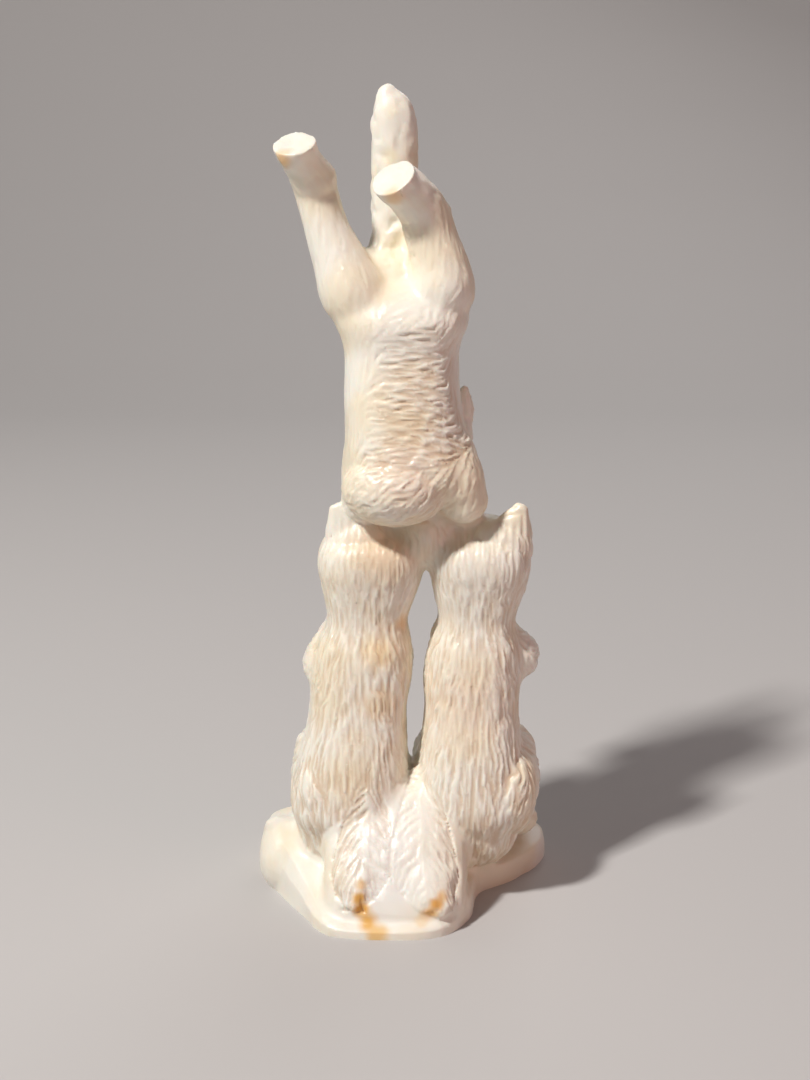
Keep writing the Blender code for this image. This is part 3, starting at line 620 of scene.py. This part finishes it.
class Coat:
    """The fur at each point of the surface: its direction, and its depth and length as shares."""

    def __init__(self, points, normals):
        guides, ways, depths, lengths = combed_guides()
        self.points, self.normals = points, normals
        self.ways = np.empty_like(points)
        self.depths = np.empty(len(points))
        self.lengths = np.empty(len(points))
        for start in range(0, len(points), CHUNK):
            part = slice(start, start + CHUNK)
            apart = ((points[part, None, :] - guides[None]) ** 2).sum(2)
            weights = 1 / (apart + MM**2) ** 2
            weights /= weights.sum(1)[:, None]
            self.ways[part] = weights @ ways
            self.depths[part] = weights @ depths
            self.lengths[part] = weights @ lengths
        self.tails = np.zeros(len(points), bool)
        for (on, beside, ways), middle_depth in zip(tail_coats(points), TAIL_MIDDLE_DEPTHS):
            self.ways[on] = ways[on]
            self.depths[on] = np.where(beside > TAIL_EDGE, TAIL_EDGE_DEPTH, middle_depth)[on]
            self.lengths[on] = TAIL_STROKE
            self.tails |= on
        self.ways -= normals * (self.ways * normals).sum(1)[:, None]
        self.ways /= np.maximum(np.linalg.norm(self.ways, axis=1), 1e-9)[:, None]
        self.tree = KDTree(len(points))
        for i, point in enumerate(points):
            self.tree.insert(point, i)
        self.tree.balance()


def off_rock(points):
    """How far each point is from the rock's own surface."""
    bm = bmesh.new()
    BASE_PLACE.add(bm, base_forms)
    skin = BVHTree.FromBMesh(bm)
    bm.free()
    return np.array([skin.find_nearest(Vector(point))[3] for point in points])


def off_faces(points):
    """Which points are not on the front of a head."""
    clear = np.ones(len(points), bool)
    skulls = (seated_skull(LEFT_POSE), seated_skull(RIGHT_POSE), TOP_HEAD)
    for place, skull in zip((LEFT_PLACE, RIGHT_PLACE, TOP_PLACE), skulls):
        apart = (points - np.array(place.point(skull))) / place.unit
        clear &= (apart[:, 1] < FACE_START) | (np.linalg.norm(apart, axis=1) > FACE_REACH)
    return clear


def on_soles(points):
    """How much each point lies on a flat sole, from 0 to 1: those stay smooth."""
    near = np.zeros(len(points))
    for leg in (LEFT_HIND_LEG, RIGHT_HIND_LEG):
        x, y, z, radius = leg[-1]
        apart = np.linalg.norm(points - np.array(TOP_PLACE.point((x, y, z))), axis=1) / (radius * TOP_UNIT)
        near = np.maximum(near, np.clip((SOLE_EDGE - apart) / SOLE_FADE, 0, 1))
    return near


def spaced_seeds(coat, order, along, across):
    """Vertices to start strokes at: no two closer than along down the fur, or across beside it."""
    kept = np.empty((len(order), 3))
    chosen = []
    for i in order:
        count = len(chosen)
        apart = kept[:count] - coat.points[i]
        down = apart @ coat.ways[i]
        beside = (apart**2).sum(1) - down**2
        if ((down / (along * coat.lengths[i])) ** 2 + beside / across**2 < 1).any():
            continue
        kept[count] = coat.points[i]
        chosen.append(i)
    return chosen


def carve_strokes(coat, allowed, length, width, depth, rng):
    """How far each point is pressed in by tapered gouge strokes along the fur, with ridges between."""
    candidates = rng.permutation(np.nonzero(allowed)[0])[: len(coat.points) // SEED_SHARE]
    press = np.zeros(len(coat.points))
    step = width * STROKE_STEP
    for seed in spaced_seeds(coat, candidates, length * STROKE_OVERLAP, width * STROKE_GAP):
        at, heading = coat.points[seed], coat.ways[seed]
        count = max(LEAST_STEPS, round(length * coat.lengths[seed] * rng.uniform(*LENGTH_RANGE) / step))
        deep = depth * coat.depths[seed] * rng.uniform(*DEPTH_RANGE)
        broad = width * rng.uniform(*WIDTH_RANGE)
        near = seed
        for k in range(count):
            share = sin(pi * (k + 0.5) / count) ** STROKE_TAPER
            reach = broad * (STROKE_END + (1 - STROKE_END) * share)
            for _, i, gap in coat.tree.find_range(at, reach):
                press[i] = max(press[i], deep * share * (1 - (gap / reach) ** 2))
            side = Vector(coat.ways[near]).cross(Vector(coat.normals[near]))
            waver = TAIL_WAVER if coat.tails[near] else WAVER
            turned = Vector(heading) + side * noise.noise(Vector(at) / WAVER_PITCH) * waver
            _, near, _ = coat.tree.find(Vector(at) + turned.normalized() * step)
            at = coat.points[near]
            way = coat.ways[near]
            heading = way if way @ heading > 0 else -way
    return press


def chisel_facets(coat, allowed, width, depth, rng):
    """How far each point is pressed in by shallow round cuts that leave a bumpy surface."""
    press = np.zeros(len(coat.points))
    order = rng.permutation(np.nonzero(allowed)[0])
    kept = []
    for i in order[:FACET_TRIES]:
        at = coat.points[i]
        if kept and (np.linalg.norm(np.array(kept) - at, axis=1) < width * FACET_GAP).any():
            continue
        kept.append(at)
        reach = width * rng.uniform(*FACET_WIDTH_RANGE)
        deep = depth * rng.uniform(*FACET_DEPTH_RANGE)
        for _, near, gap in coat.tree.find_range(at, reach):
            press[near] = max(press[near], deep * (1 - (gap / reach) ** 2))
    return press


def chiselled(points):
    """How deep the facets are on each point: full on the raised tail, less on the bare feet."""
    local = (points - np.array(TOP_PLACE.origin)) / TOP_UNIT
    tail = np.zeros(len(points))
    for x, y, z, radius in smooth_path([station[:4] for station in TOP_TAIL]):
        apart = np.linalg.norm(local - (x, y, z), axis=1) / radius
        tail = np.maximum(tail, np.clip((TAIL_REACH - apart) / TAIL_FADE, 0, 1))
    tail *= np.clip((local[:, 2] - TAIL_START) / FACET_FADE, 0, 1)
    return np.maximum(tail, np.clip((local[:, 2] - FEET_START) / FACET_FADE, 0, 1) * FOOT_FACET)


# Lines cut into a face, from the middle of its skull in canon units: the mouth, and one eye's lids
MOUTH_LINES = [
    [(-3.4, 8.0, -4.4), (-1.8, 10.2, -4.8), (0, 10.9, -3.8), (1.8, 10.2, -4.8), (3.4, 8.0, -4.4)],
    [(0, 11.2, -2.2), (0, 11.0, -3.8)],
]
EYE_LINES = [
    [(2.2, 8.0, 1.2), (3.9, 8.2, 3.0), (5.8, 7.0, 1.8)],
    [(2.2, 8.0, 1.2), (3.9, 8.2, 0.1), (5.8, 7.0, 1.8)],
]


def face_lines(skull):
    """The mouth and both eyes' lids."""
    lines = list(MOUTH_LINES)
    lines += [[(way * x, y, z) for x, y, z in line] for line in EYE_LINES for way in (1, -1)]
    return [[tuple(np.add(skull, point)) for point in line] for line in lines]


def toe_lines(paw, front, apart):
    """Two lines that part the toes of a paw whose middle is given, with its front so far before it."""
    x, y, z = paw
    return [[(x + way * apart, y + front, z - 0.4), (x + way * apart, y + front * 0.8, z + 1.9),
             (x + way * apart * 0.9, y + front * 0.2, z + 3.4)] for way in (1, -1)]


def seated_lines(pose):
    """The lines of a seated cat's face and four paws."""
    lines = face_lines(seated_skull(pose))
    chest = pose.spine(38)
    limbs = ((1, pose.elbow_height, pose.knee_out), (-1, INNER_ELBOW_HEIGHT, pose.knee_in))
    for way, height, knee in limbs:
        lines += toe_lines((chest + way * 2.9, 11.6, height + 3.4), 3.4, 1.0)
        lines += toe_lines((way * (knee + 1.0), 14.6, 2.4), 4.0, 1.4)
    return lines


TOP_PAWS = [(11.2, 9.0, 1.0), (-8.0, 9.0, 1.6)]


def cut_lines(coat, press):
    """Adds the lines of the faces and toes to the depths that are pressed in."""
    drawn = [(LEFT_PLACE, line) for line in seated_lines(LEFT_POSE)]
    drawn += [(RIGHT_PLACE, line) for line in seated_lines(RIGHT_POSE)]
    drawn += [(TOP_PLACE, line) for line in face_lines(TOP_HEAD)]
    drawn += [(TOP_PLACE, line) for paw in TOP_PAWS for line in toe_lines(paw, 3.2, 1.1)]
    for place, line in drawn:
        for at in smooth_path([place.point(point) for point in line], LINE_STEPS):
            _, near, _ = coat.tree.find(at)
            for _, i, gap in coat.tree.find_range(coat.points[near], LINE_WIDTH):
                press[i] = max(press[i], LINE_DEPTH * (1 - (gap / LINE_WIDTH) ** 2))


def hollow_ears(coat):
    """How far each point is pressed in by the hollows of the ears that have one."""
    ears = [(place, (pose.lean + pose.ear_out - 1.4, -1.2, 63.6))
            for place, pose in ((LEFT_PLACE, LEFT_POSE), (RIGHT_PLACE, RIGHT_POSE))]
    x, y, z = TOP_HEAD
    ears += [(TOP_PLACE, (x + way * 6.0, y + 0.2, z + 6.2)) for way in (1, -1)]
    press = np.zeros(len(coat.points))
    for place, centre in ears:
        for _, i, gap in coat.tree.find_range(place.point(centre), EAR_HOLLOW_WIDTH):
            facing = max(0, coat.normals[i][1])
            press[i] = max(press[i], facing * EAR_HOLLOW_DEPTH * (1 - (gap / EAR_HOLLOW_WIDTH) ** 2))
    return press


def unevenness(points):
    """Soft dents, from 0 to 1."""
    return np.array([max(0, noise.noise(Vector(point) / UNEVEN_PITCH)) for point in points])


# Where the bone is crumbled: the figure, the place on it, the radius in its units, the pitch and the depth.
# The texture is fullest near the middle and ends this many radii from it.
CRUMBLED_EDGE = 1.4
CRUMBLED = [
    (TOP_PLACE, (-5.5, -10.5, 11.0), 4.5, 0.9 * MM, 0.4 * MM),
    (TOP_PLACE, (-1.4, -1.0, 52.0), 5.0, 1.5 * MM, 0.7 * MM),
    (TOP_PLACE, (-1.2, 0.5, 60.0), 4.0, 1.5 * MM, 0.6 * MM),
    (RIGHT_PLACE, (11.0, 2.0, 39.5), 4.5, 1.2 * MM, 1.0 * MM),
]


def pits(points):
    """How far each point is pressed in by the crumbled texture in a few creases and on one elbow."""
    press = np.zeros(len(points))
    for place, centre, radius, pitch, depth in CRUMBLED:
        apart = np.linalg.norm(points - np.array(place.point(centre)), axis=1) / (radius * place.unit)
        share = np.clip(CRUMBLED_EDGE - apart, 0, 1)
        for i in np.nonzero(share)[0]:
            press[i] += depth * share[i] * max(0, noise.noise(Vector(points[i]) / pitch))
    return press


def cut_flat(mesh):
    """Cuts the mesh off at the ground and closes it with one flat face."""
    bm = bmesh.new()
    bm.from_mesh(mesh)
    bmesh.ops.bisect_plane(bm, geom=bm.verts[:] + bm.edges[:] + bm.faces[:], dist=WELD,
                           plane_co=(0, 0, 0), plane_no=(0, 0, 1), clear_inner=True)
    rim = [edge for edge in bm.edges if edge.is_boundary]
    bmesh.ops.holes_fill(bm, edges=rim, sides=0)
    bmesh.ops.triangulate(bm, faces=bm.faces)
    bmesh.ops.recalc_face_normals(bm, faces=bm.faces)
    for face in bm.faces:
        face.smooth = True
    for edge in bm.edges:
        edge.smooth = max(vert.co.z for vert in edge.verts) > GROUND
    bm.to_mesh(mesh)
    bm.free()


def modelled():
    """The carving's forms, before any stroke."""
    bm = bmesh.new()
    LEFT_PLACE.add(bm, seated_forms, LEFT_POSE)
    RIGHT_PLACE.add(bm, seated_forms, RIGHT_POSE)
    TOP_PLACE.add(bm, top_forms)
    BASE_PLACE.add(bm, base_forms)
    forms = fused(bm, FORM_VOXEL, FORM_BLEND)
    bm = bmesh.new()
    bm.from_mesh(forms)
    LEFT_PLACE.add(bm, seated_details, LEFT_POSE)
    RIGHT_PLACE.add(bm, seated_details, RIGHT_POSE)
    TOP_PLACE.add(bm, top_details)
    BASE_PLACE.add(bm, base_forms)
    BASE_PLACE.add(bm, tail_forms)
    return fused(bm, DETAIL_VOXEL, DETAIL_BLEND)


def carved():
    """The carving with its strokes, and a groove attribute that says how deep each point was cut, which the
    bone uses for painted shade in its grooves.
    """
    mesh = modelled()
    points, normals = read_mesh(mesh)
    coat = Coat(points, normals)
    furred = np.where(coat.tails, 1, np.clip(off_rock(points) / ROCK_MARGIN - 1, 0, 1))
    rock = furred == 0
    soles = on_soles(points)
    fur = ~rock & off_faces(points) & (soles < 1)
    rng = np.random.default_rng(SEED)
    press = carve_strokes(coat, fur, LOCK_LENGTH, LOCK_WIDTH, LOCK_DEPTH, rng)
    press += carve_strokes(coat, fur, HAIR_LENGTH, HAIR_WIDTH, HAIR_DEPTH, rng)
    press *= (1 - soles) * furred
    # How deep each point was cut by the fur strokes, as a share. The bone is painted darker there, as shade
    # in the grooves.
    cut_shade_share = press / (LOCK_DEPTH + HAIR_DEPTH)
    faceted = chiselled(points)
    press += chisel_facets(coat, faceted > 0, FACET_WIDTH, FACET_DEPTH, rng) * faceted
    press += chisel_facets(coat, rock, ROCK_FACET_WIDTH, ROCK_FACET_DEPTH, rng)
    press += faceted * unevenness(points) * UNEVEN_DEPTH
    press += pits(points)
    press += hollow_ears(coat)
    cut_lines(coat, press)
    points -= normals * press[:, None]
    write_points(mesh, points)
    groove = mesh.attributes.new("groove", "FLOAT", "POINT")
    groove.data.foreach_set("value", cut_shade_share.astype(np.float32))
    triangles = sum(len(face.vertices) - 2 for face in mesh.polygons)
    mesh = changed(mesh, ("DECIMATE", {"ratio": MOST_TRIANGLES / triangles}))
    cut_flat(mesh)
    return mesh


# Colour laid over the bone, real stains and painted shade alike: the middle in millimetres, the radius, how
# strong it is, and the colour.
# A patch or speck is full out to a share of its radius, its core. Patches have wandering edges.
STAINS_AND_PAINTED_SHADE = [
    ((-1.0, -20.0, 12.0), 17.0, 0.6, (0.88, 0.87, 0.84)),
    ((-7.6, -20.6, 9.4), 1.7, 0.75, (0.78, 0.50, 0.20)),
    ((-8.0, -21.6, 7.0), 2.0, 1.0, (0.72, 0.40, 0.10)),
    ((-7.8, -21.8, 4.7), 2.4, 1.0, (0.70, 0.37, 0.08)),
    ((-6.8, -22.8, 2.6), 2.8, 1.0, (0.74, 0.42, 0.11)),
    ((-4.8, -24.2, 0.9), 3.2, 0.9, (0.78, 0.50, 0.18)),
    ((7.0, -21.4, 7.6), 1.7, 0.8, (0.76, 0.46, 0.18)),
    ((5.8, -22.1, 6.4), 2.0, 1.0, (0.72, 0.38, 0.11)),
    ((4.6, -22.2, 4.6), 2.2, 0.95, (0.74, 0.42, 0.14)),
    ((3.2, -22.4, 3.2), 1.8, 0.5, (0.82, 0.58, 0.30)),
    ((-4.6, -8.5, 40.0), 5.0, 0.45, (0.86, 0.62, 0.32)),
    ((-4.6, -9.0, 50.0), 5.0, 0.45, (0.86, 0.62, 0.32)),
    ((-5.2, -7.0, 30.0), 4.0, 0.35, (0.84, 0.58, 0.30)),
    # Deep orange on the left seated cat's inner side, in the gap between the seated cats
    ((-1.8, -3.0, 44.0), 3.6, 0.6, (0.78, 0.46, 0.18)),
    ((-1.6, -3.0, 54.0), 3.6, 0.6, (0.78, 0.46, 0.18)),
    # Painted shadow cast by the top cat's chest on the seated cats' heads, and painted shade in the hollow
    # beside its near foreleg
    ((-4.0, -8.0, 69.0), 8.0, 0.4, (0.66, 0.44, 0.27)),
    ((8.0, -4.0, 75.0), 4.0, 0.5, (0.60, 0.38, 0.20)),
    ((-2.2, 3.0, 146.0), 2.4, 0.5, (0.80, 0.70, 0.45)),
    ((-2.8, 3.0, 137.5), 2.6, 0.5, (0.80, 0.70, 0.45)),
    ((-1.4, 0.0, 123.5), 3.4, 0.6, (0.80, 0.68, 0.42)),
    ((-20.4, -6.6, 137.4), 2.6, 0.75, (0.78, 0.46, 0.16)),
    ((-1.8, -8.6, 131.6), 2.4, 0.65, (0.80, 0.52, 0.26)),
    ((-16.0, -17.0, 6.0), 5.0, 0.3, (0.84, 0.66, 0.44)),
    # Painted pinkish shade and reflected light, over the right seated cat and on the top cat's down-facing
    # chest
    ((12.0, -6.0, 40.0), 12.0, 0.3, (0.84, 0.62, 0.46)),
    ((0.0, -10.0, 84.0), 9.0, 0.3, (0.84, 0.62, 0.48)),
]
SPECKS = [
    ((-1.1, -6.9, 95.4), 0.5),
    ((14.6, -10.0, 32.8), 0.55),
    ((4.2, 3.2, 143.0), 0.5),
    ((-2.4, -8.5, 128.4), 0.45),
]
SPECK_COLOUR = (0.26, 0.14, 0.08)
SPECK_STRENGTH = 0.8
PATCH_CORE, SPECK_CORE = 0.2, 0.4
WARP, WARP_SCALE = 2.4 * MM, 220

# The bone's own look: two tints, the painted shade in its grooves, how light glows in it, its gloss and its
# grain
BONE_COLOUR = (0.84, 0.80, 0.71)
WARM_BONE_COLOUR = (0.82, 0.73, 0.57)
FINE_DETAIL = 3
TINT_SCALE, TINT_LOW, TINT_HIGH = 70, 0.4, 0.65
GROOVE_SHADE_COLOUR = (0.56, 0.37, 0.21)
GROOVE_LOW, GROOVE_HIGH, GROOVE_SHADE_STRENGTH = 0.2, 1.0, 0.62
GLOW, GLOW_DEPTH, GLOW_REACH = 0.2, 0.8 * MM, (1.0, 0.45, 0.3)
GLOSS_SCALE, GLOSS_LOW, GLOSS_HIGH = 500, 0.3, 0.7
SMOOTHEST, ROUGHEST = 0.30, 0.46
GRAIN_SCALE, GRAIN_STRENGTH, GRAIN_DEPTH = 2600, 0.25, 0.05 * MM


def bone():
    """Polished cream bone with a slow change of tint, painted warm shade in its grooves, stains and dark
    specks, and patches of painted shade.
    """
    material = bpy.data.materials.new("carved bone")
    material.use_nodes = True
    nodes, links = material.node_tree.nodes, material.node_tree.links
    shader = nodes["Principled BSDF"]
    shader.inputs["Subsurface Weight"].default_value = GLOW
    shader.inputs["Subsurface Scale"].default_value = GLOW_DEPTH
    shader.inputs["Subsurface Radius"].default_value = GLOW_REACH
    where = nodes.new("ShaderNodeTexCoord").outputs["Object"]

    def field(scale, detail=2):
        """Noise in the object's own space."""
        texture = nodes.new("ShaderNodeTexNoise")
        texture.inputs["Scale"].default_value = scale
        texture.inputs["Detail"].default_value = detail
        links.new(where, texture.inputs["Vector"])
        return texture

    def ranged(value, low, high, start, end):
        """The value's range from low to high, smoothly turned into one from start to end."""
        remap = nodes.new("ShaderNodeMapRange")
        remap.interpolation_type = "SMOOTHSTEP"
        for name, number in (("From Min", low), ("From Max", high), ("To Min", start), ("To Max", end)):
            remap.inputs[name].default_value = number
        links.new(value, remap.inputs["Value"])
        return remap.outputs["Result"]

    def mixed(factor, under, over):
        """A colour laid over another by a factor. Under may be a colour or a socket."""
        mix = nodes.new("ShaderNodeMix")
        mix.data_type = "RGBA"
        links.new(factor, mix.inputs["Factor"])
        if isinstance(under, tuple):
            mix.inputs["A"].default_value = (*under, 1)
        else:
            links.new(under, mix.inputs["A"])
        mix.inputs["B"].default_value = (*over, 1)
        return mix.outputs["Result"]

    def distance(vector, middle):
        """How far a vector is from a middle in millimetres."""
        apart = nodes.new("ShaderNodeVectorMath")
        apart.operation = "DISTANCE"
        links.new(vector, apart.inputs[0])
        apart.inputs[1].default_value = [co * MM for co in middle]
        return apart.outputs["Value"]

    tint = field(TINT_SCALE, FINE_DETAIL).outputs["Fac"]
    colour = mixed(ranged(tint, TINT_LOW, TINT_HIGH, 0, 1), BONE_COLOUR, WARM_BONE_COLOUR)
    # Painted shade: the grooves are coloured darker and warmer the deeper they were cut
    groove = nodes.new("ShaderNodeAttribute")
    groove.attribute_name = "groove"
    groove_shade_mix = ranged(groove.outputs["Fac"], GROOVE_LOW, GROOVE_HIGH, 0, GROOVE_SHADE_STRENGTH)
    colour = mixed(groove_shade_mix, colour, GROOVE_SHADE_COLOUR)
    warped = nodes.new("ShaderNodeVectorMath")
    warped.operation = "MULTIPLY_ADD"
    links.new(field(WARP_SCALE).outputs["Color"], warped.inputs[0])
    warped.inputs[1].default_value = (WARP, WARP, WARP)
    links.new(where, warped.inputs[2])
    # Stains and patches of painted shade, laid over the bone one after another
    for middle, radius, strength, over in STAINS_AND_PAINTED_SHADE:
        shifted = [co + WARP / (2 * MM) for co in middle]
        apart = distance(warped.outputs["Vector"], shifted)
        colour = mixed(ranged(apart, radius * PATCH_CORE * MM, radius * MM, strength, 0), colour, over)
    for middle, radius in SPECKS:
        apart = distance(where, middle)
        speck = ranged(apart, radius * SPECK_CORE * MM, radius * MM, SPECK_STRENGTH, 0)
        colour = mixed(speck, colour, SPECK_COLOUR)
    links.new(colour, shader.inputs["Base Color"])
    gloss = ranged(field(GLOSS_SCALE).outputs["Fac"], GLOSS_LOW, GLOSS_HIGH, SMOOTHEST, ROUGHEST)
    links.new(gloss, shader.inputs["Roughness"])
    grain = nodes.new("ShaderNodeBump")
    grain.inputs["Strength"].default_value = GRAIN_STRENGTH
    grain.inputs["Distance"].default_value = GRAIN_DEPTH
    links.new(field(GRAIN_SCALE, FINE_DETAIL).outputs["Fac"], grain.inputs["Height"])
    links.new(grain.outputs["Normal"], shader.inputs["Normal"])
    return material


def make_carving():
    """The piece that is seen in place of the solid."""
    mesh = carved()
    mesh.materials.append(bone())
    piece = bpy.data.objects.new("carving", mesh)
    bpy.context.scene.collection.objects.link(piece)
    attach(piece, "root")
    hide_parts(NODE)


# The floor, in metres: its near and far edge, the radius of the bend behind it with a row of points every so
# many degrees, the backdrop's height, and half the width
FLOOR_NEAR, FLOOR_FAR = -1.2, 0.5
BEND_RADIUS, BEND_STEP = 0.4, 10
BACKDROP_HEIGHT = 2.0
FLOOR_HALF_WIDTH = 1.6
FLOOR_COLOUR, FLOOR_ROUGHNESS = (0.50, 0.48, 0.47, 1), 0.8


def make_stage():
    """A pale floor that curves up into a backdrop."""
    bm = bmesh.new()
    profile = [(FLOOR_NEAR, 0.0), (FLOOR_FAR, 0.0)]
    for turn in [radians(angle) for angle in range(BEND_STEP, 91, BEND_STEP)]:
        profile.append((FLOOR_FAR + BEND_RADIUS * sin(turn), BEND_RADIUS - BEND_RADIUS * cos(turn)))
    profile.append((FLOOR_FAR + BEND_RADIUS, BACKDROP_HEIGHT))
    rows = [[bm.verts.new((x, y, z)) for x in (-FLOOR_HALF_WIDTH, FLOOR_HALF_WIDTH)] for y, z in profile]
    for low, high in zip(rows, rows[1:]):
        bm.faces.new((low[0], low[1], high[1], high[0]))
    mesh = bpy.data.meshes.new("floor")
    bm.to_mesh(mesh)
    bm.free()
    mesh.shade_smooth()
    floor = bpy.data.objects.new("floor", mesh)
    bpy.context.scene.collection.objects.link(floor)
    material = bpy.data.materials.new("pale floor")
    material.use_nodes = True
    shader = material.node_tree.nodes["Principled BSDF"]
    shader.inputs["Base Color"].default_value = FLOOR_COLOUR
    shader.inputs["Roughness"].default_value = FLOOR_ROUGHNESS
    mesh.materials.append(material)


def aimed(obj, place, target):
    """Puts a camera or light in its place, looking at the target."""
    obj.location = place
    obj.rotation_euler = (Vector(target) - Vector(place)).to_track_quat("-Z", "Y").to_euler()
    bpy.context.scene.collection.objects.link(obj)


# The view: 15 degrees down, with the lens and distance that give the carving's outline on the ground
CAMERA_PLACE = (0.0002, -0.2896, 0.1465)
CAMERA_TARGET = (0.0002, 0, 0.0689)
LENS_MM, SENSOR_MM = 54, 36
NEAREST = 0.01

# The lights: name, place, size, power and colour. The main one is at the upper left, a weak warm one at the
# right, and one behind.
LIGHTS = [
    ("key", (-0.44, -0.40, 0.80), 0.09, 10.0, (1.0, 0.98, 0.95)),
    ("fill", (0.60, -0.40, 0.16), 0.5, 1.1, (1.0, 0.50, 0.45)),
    ("back", (0.25, 0.55, 0.55), 0.5, 1.2, (1.0, 1.0, 1.0)),
]
LIT_POINT = (0, 0, 0.07)
STUDIO_COLOUR, STUDIO_STRENGTH = (0.95, 0.93, 0.96, 1), 0.11


def make_camera():
    """The camera that looks at the carving."""
    camera = bpy.data.cameras.new("camera")
    camera.lens = LENS_MM
    camera.sensor_width = SENSOR_MM
    camera.clip_start = NEAREST
    obj = bpy.data.objects.new("camera", camera)
    aimed(obj, CAMERA_PLACE, CAMERA_TARGET)
    bpy.context.scene.camera = obj


def make_lights():
    """The area lights and the even light of the studio."""
    for name, place, size, power, colour in LIGHTS:
        light = bpy.data.lights.new(name, "AREA")
        light.size = size
        light.energy = power
        light.color = colour
        aimed(bpy.data.objects.new(name, light), place, LIT_POINT)
    world = bpy.data.worlds.new("studio")
    bpy.context.scene.world = world
    world.use_nodes = True
    background = world.node_tree.nodes["Background"]
    background.inputs["Color"].default_value = STUDIO_COLOUR
    background.inputs["Strength"].default_value = STUDIO_STRENGTH
    bpy.context.scene.view_settings.view_transform = "Standard"


make_camera()
make_lights()
make_stage()
make_carving()
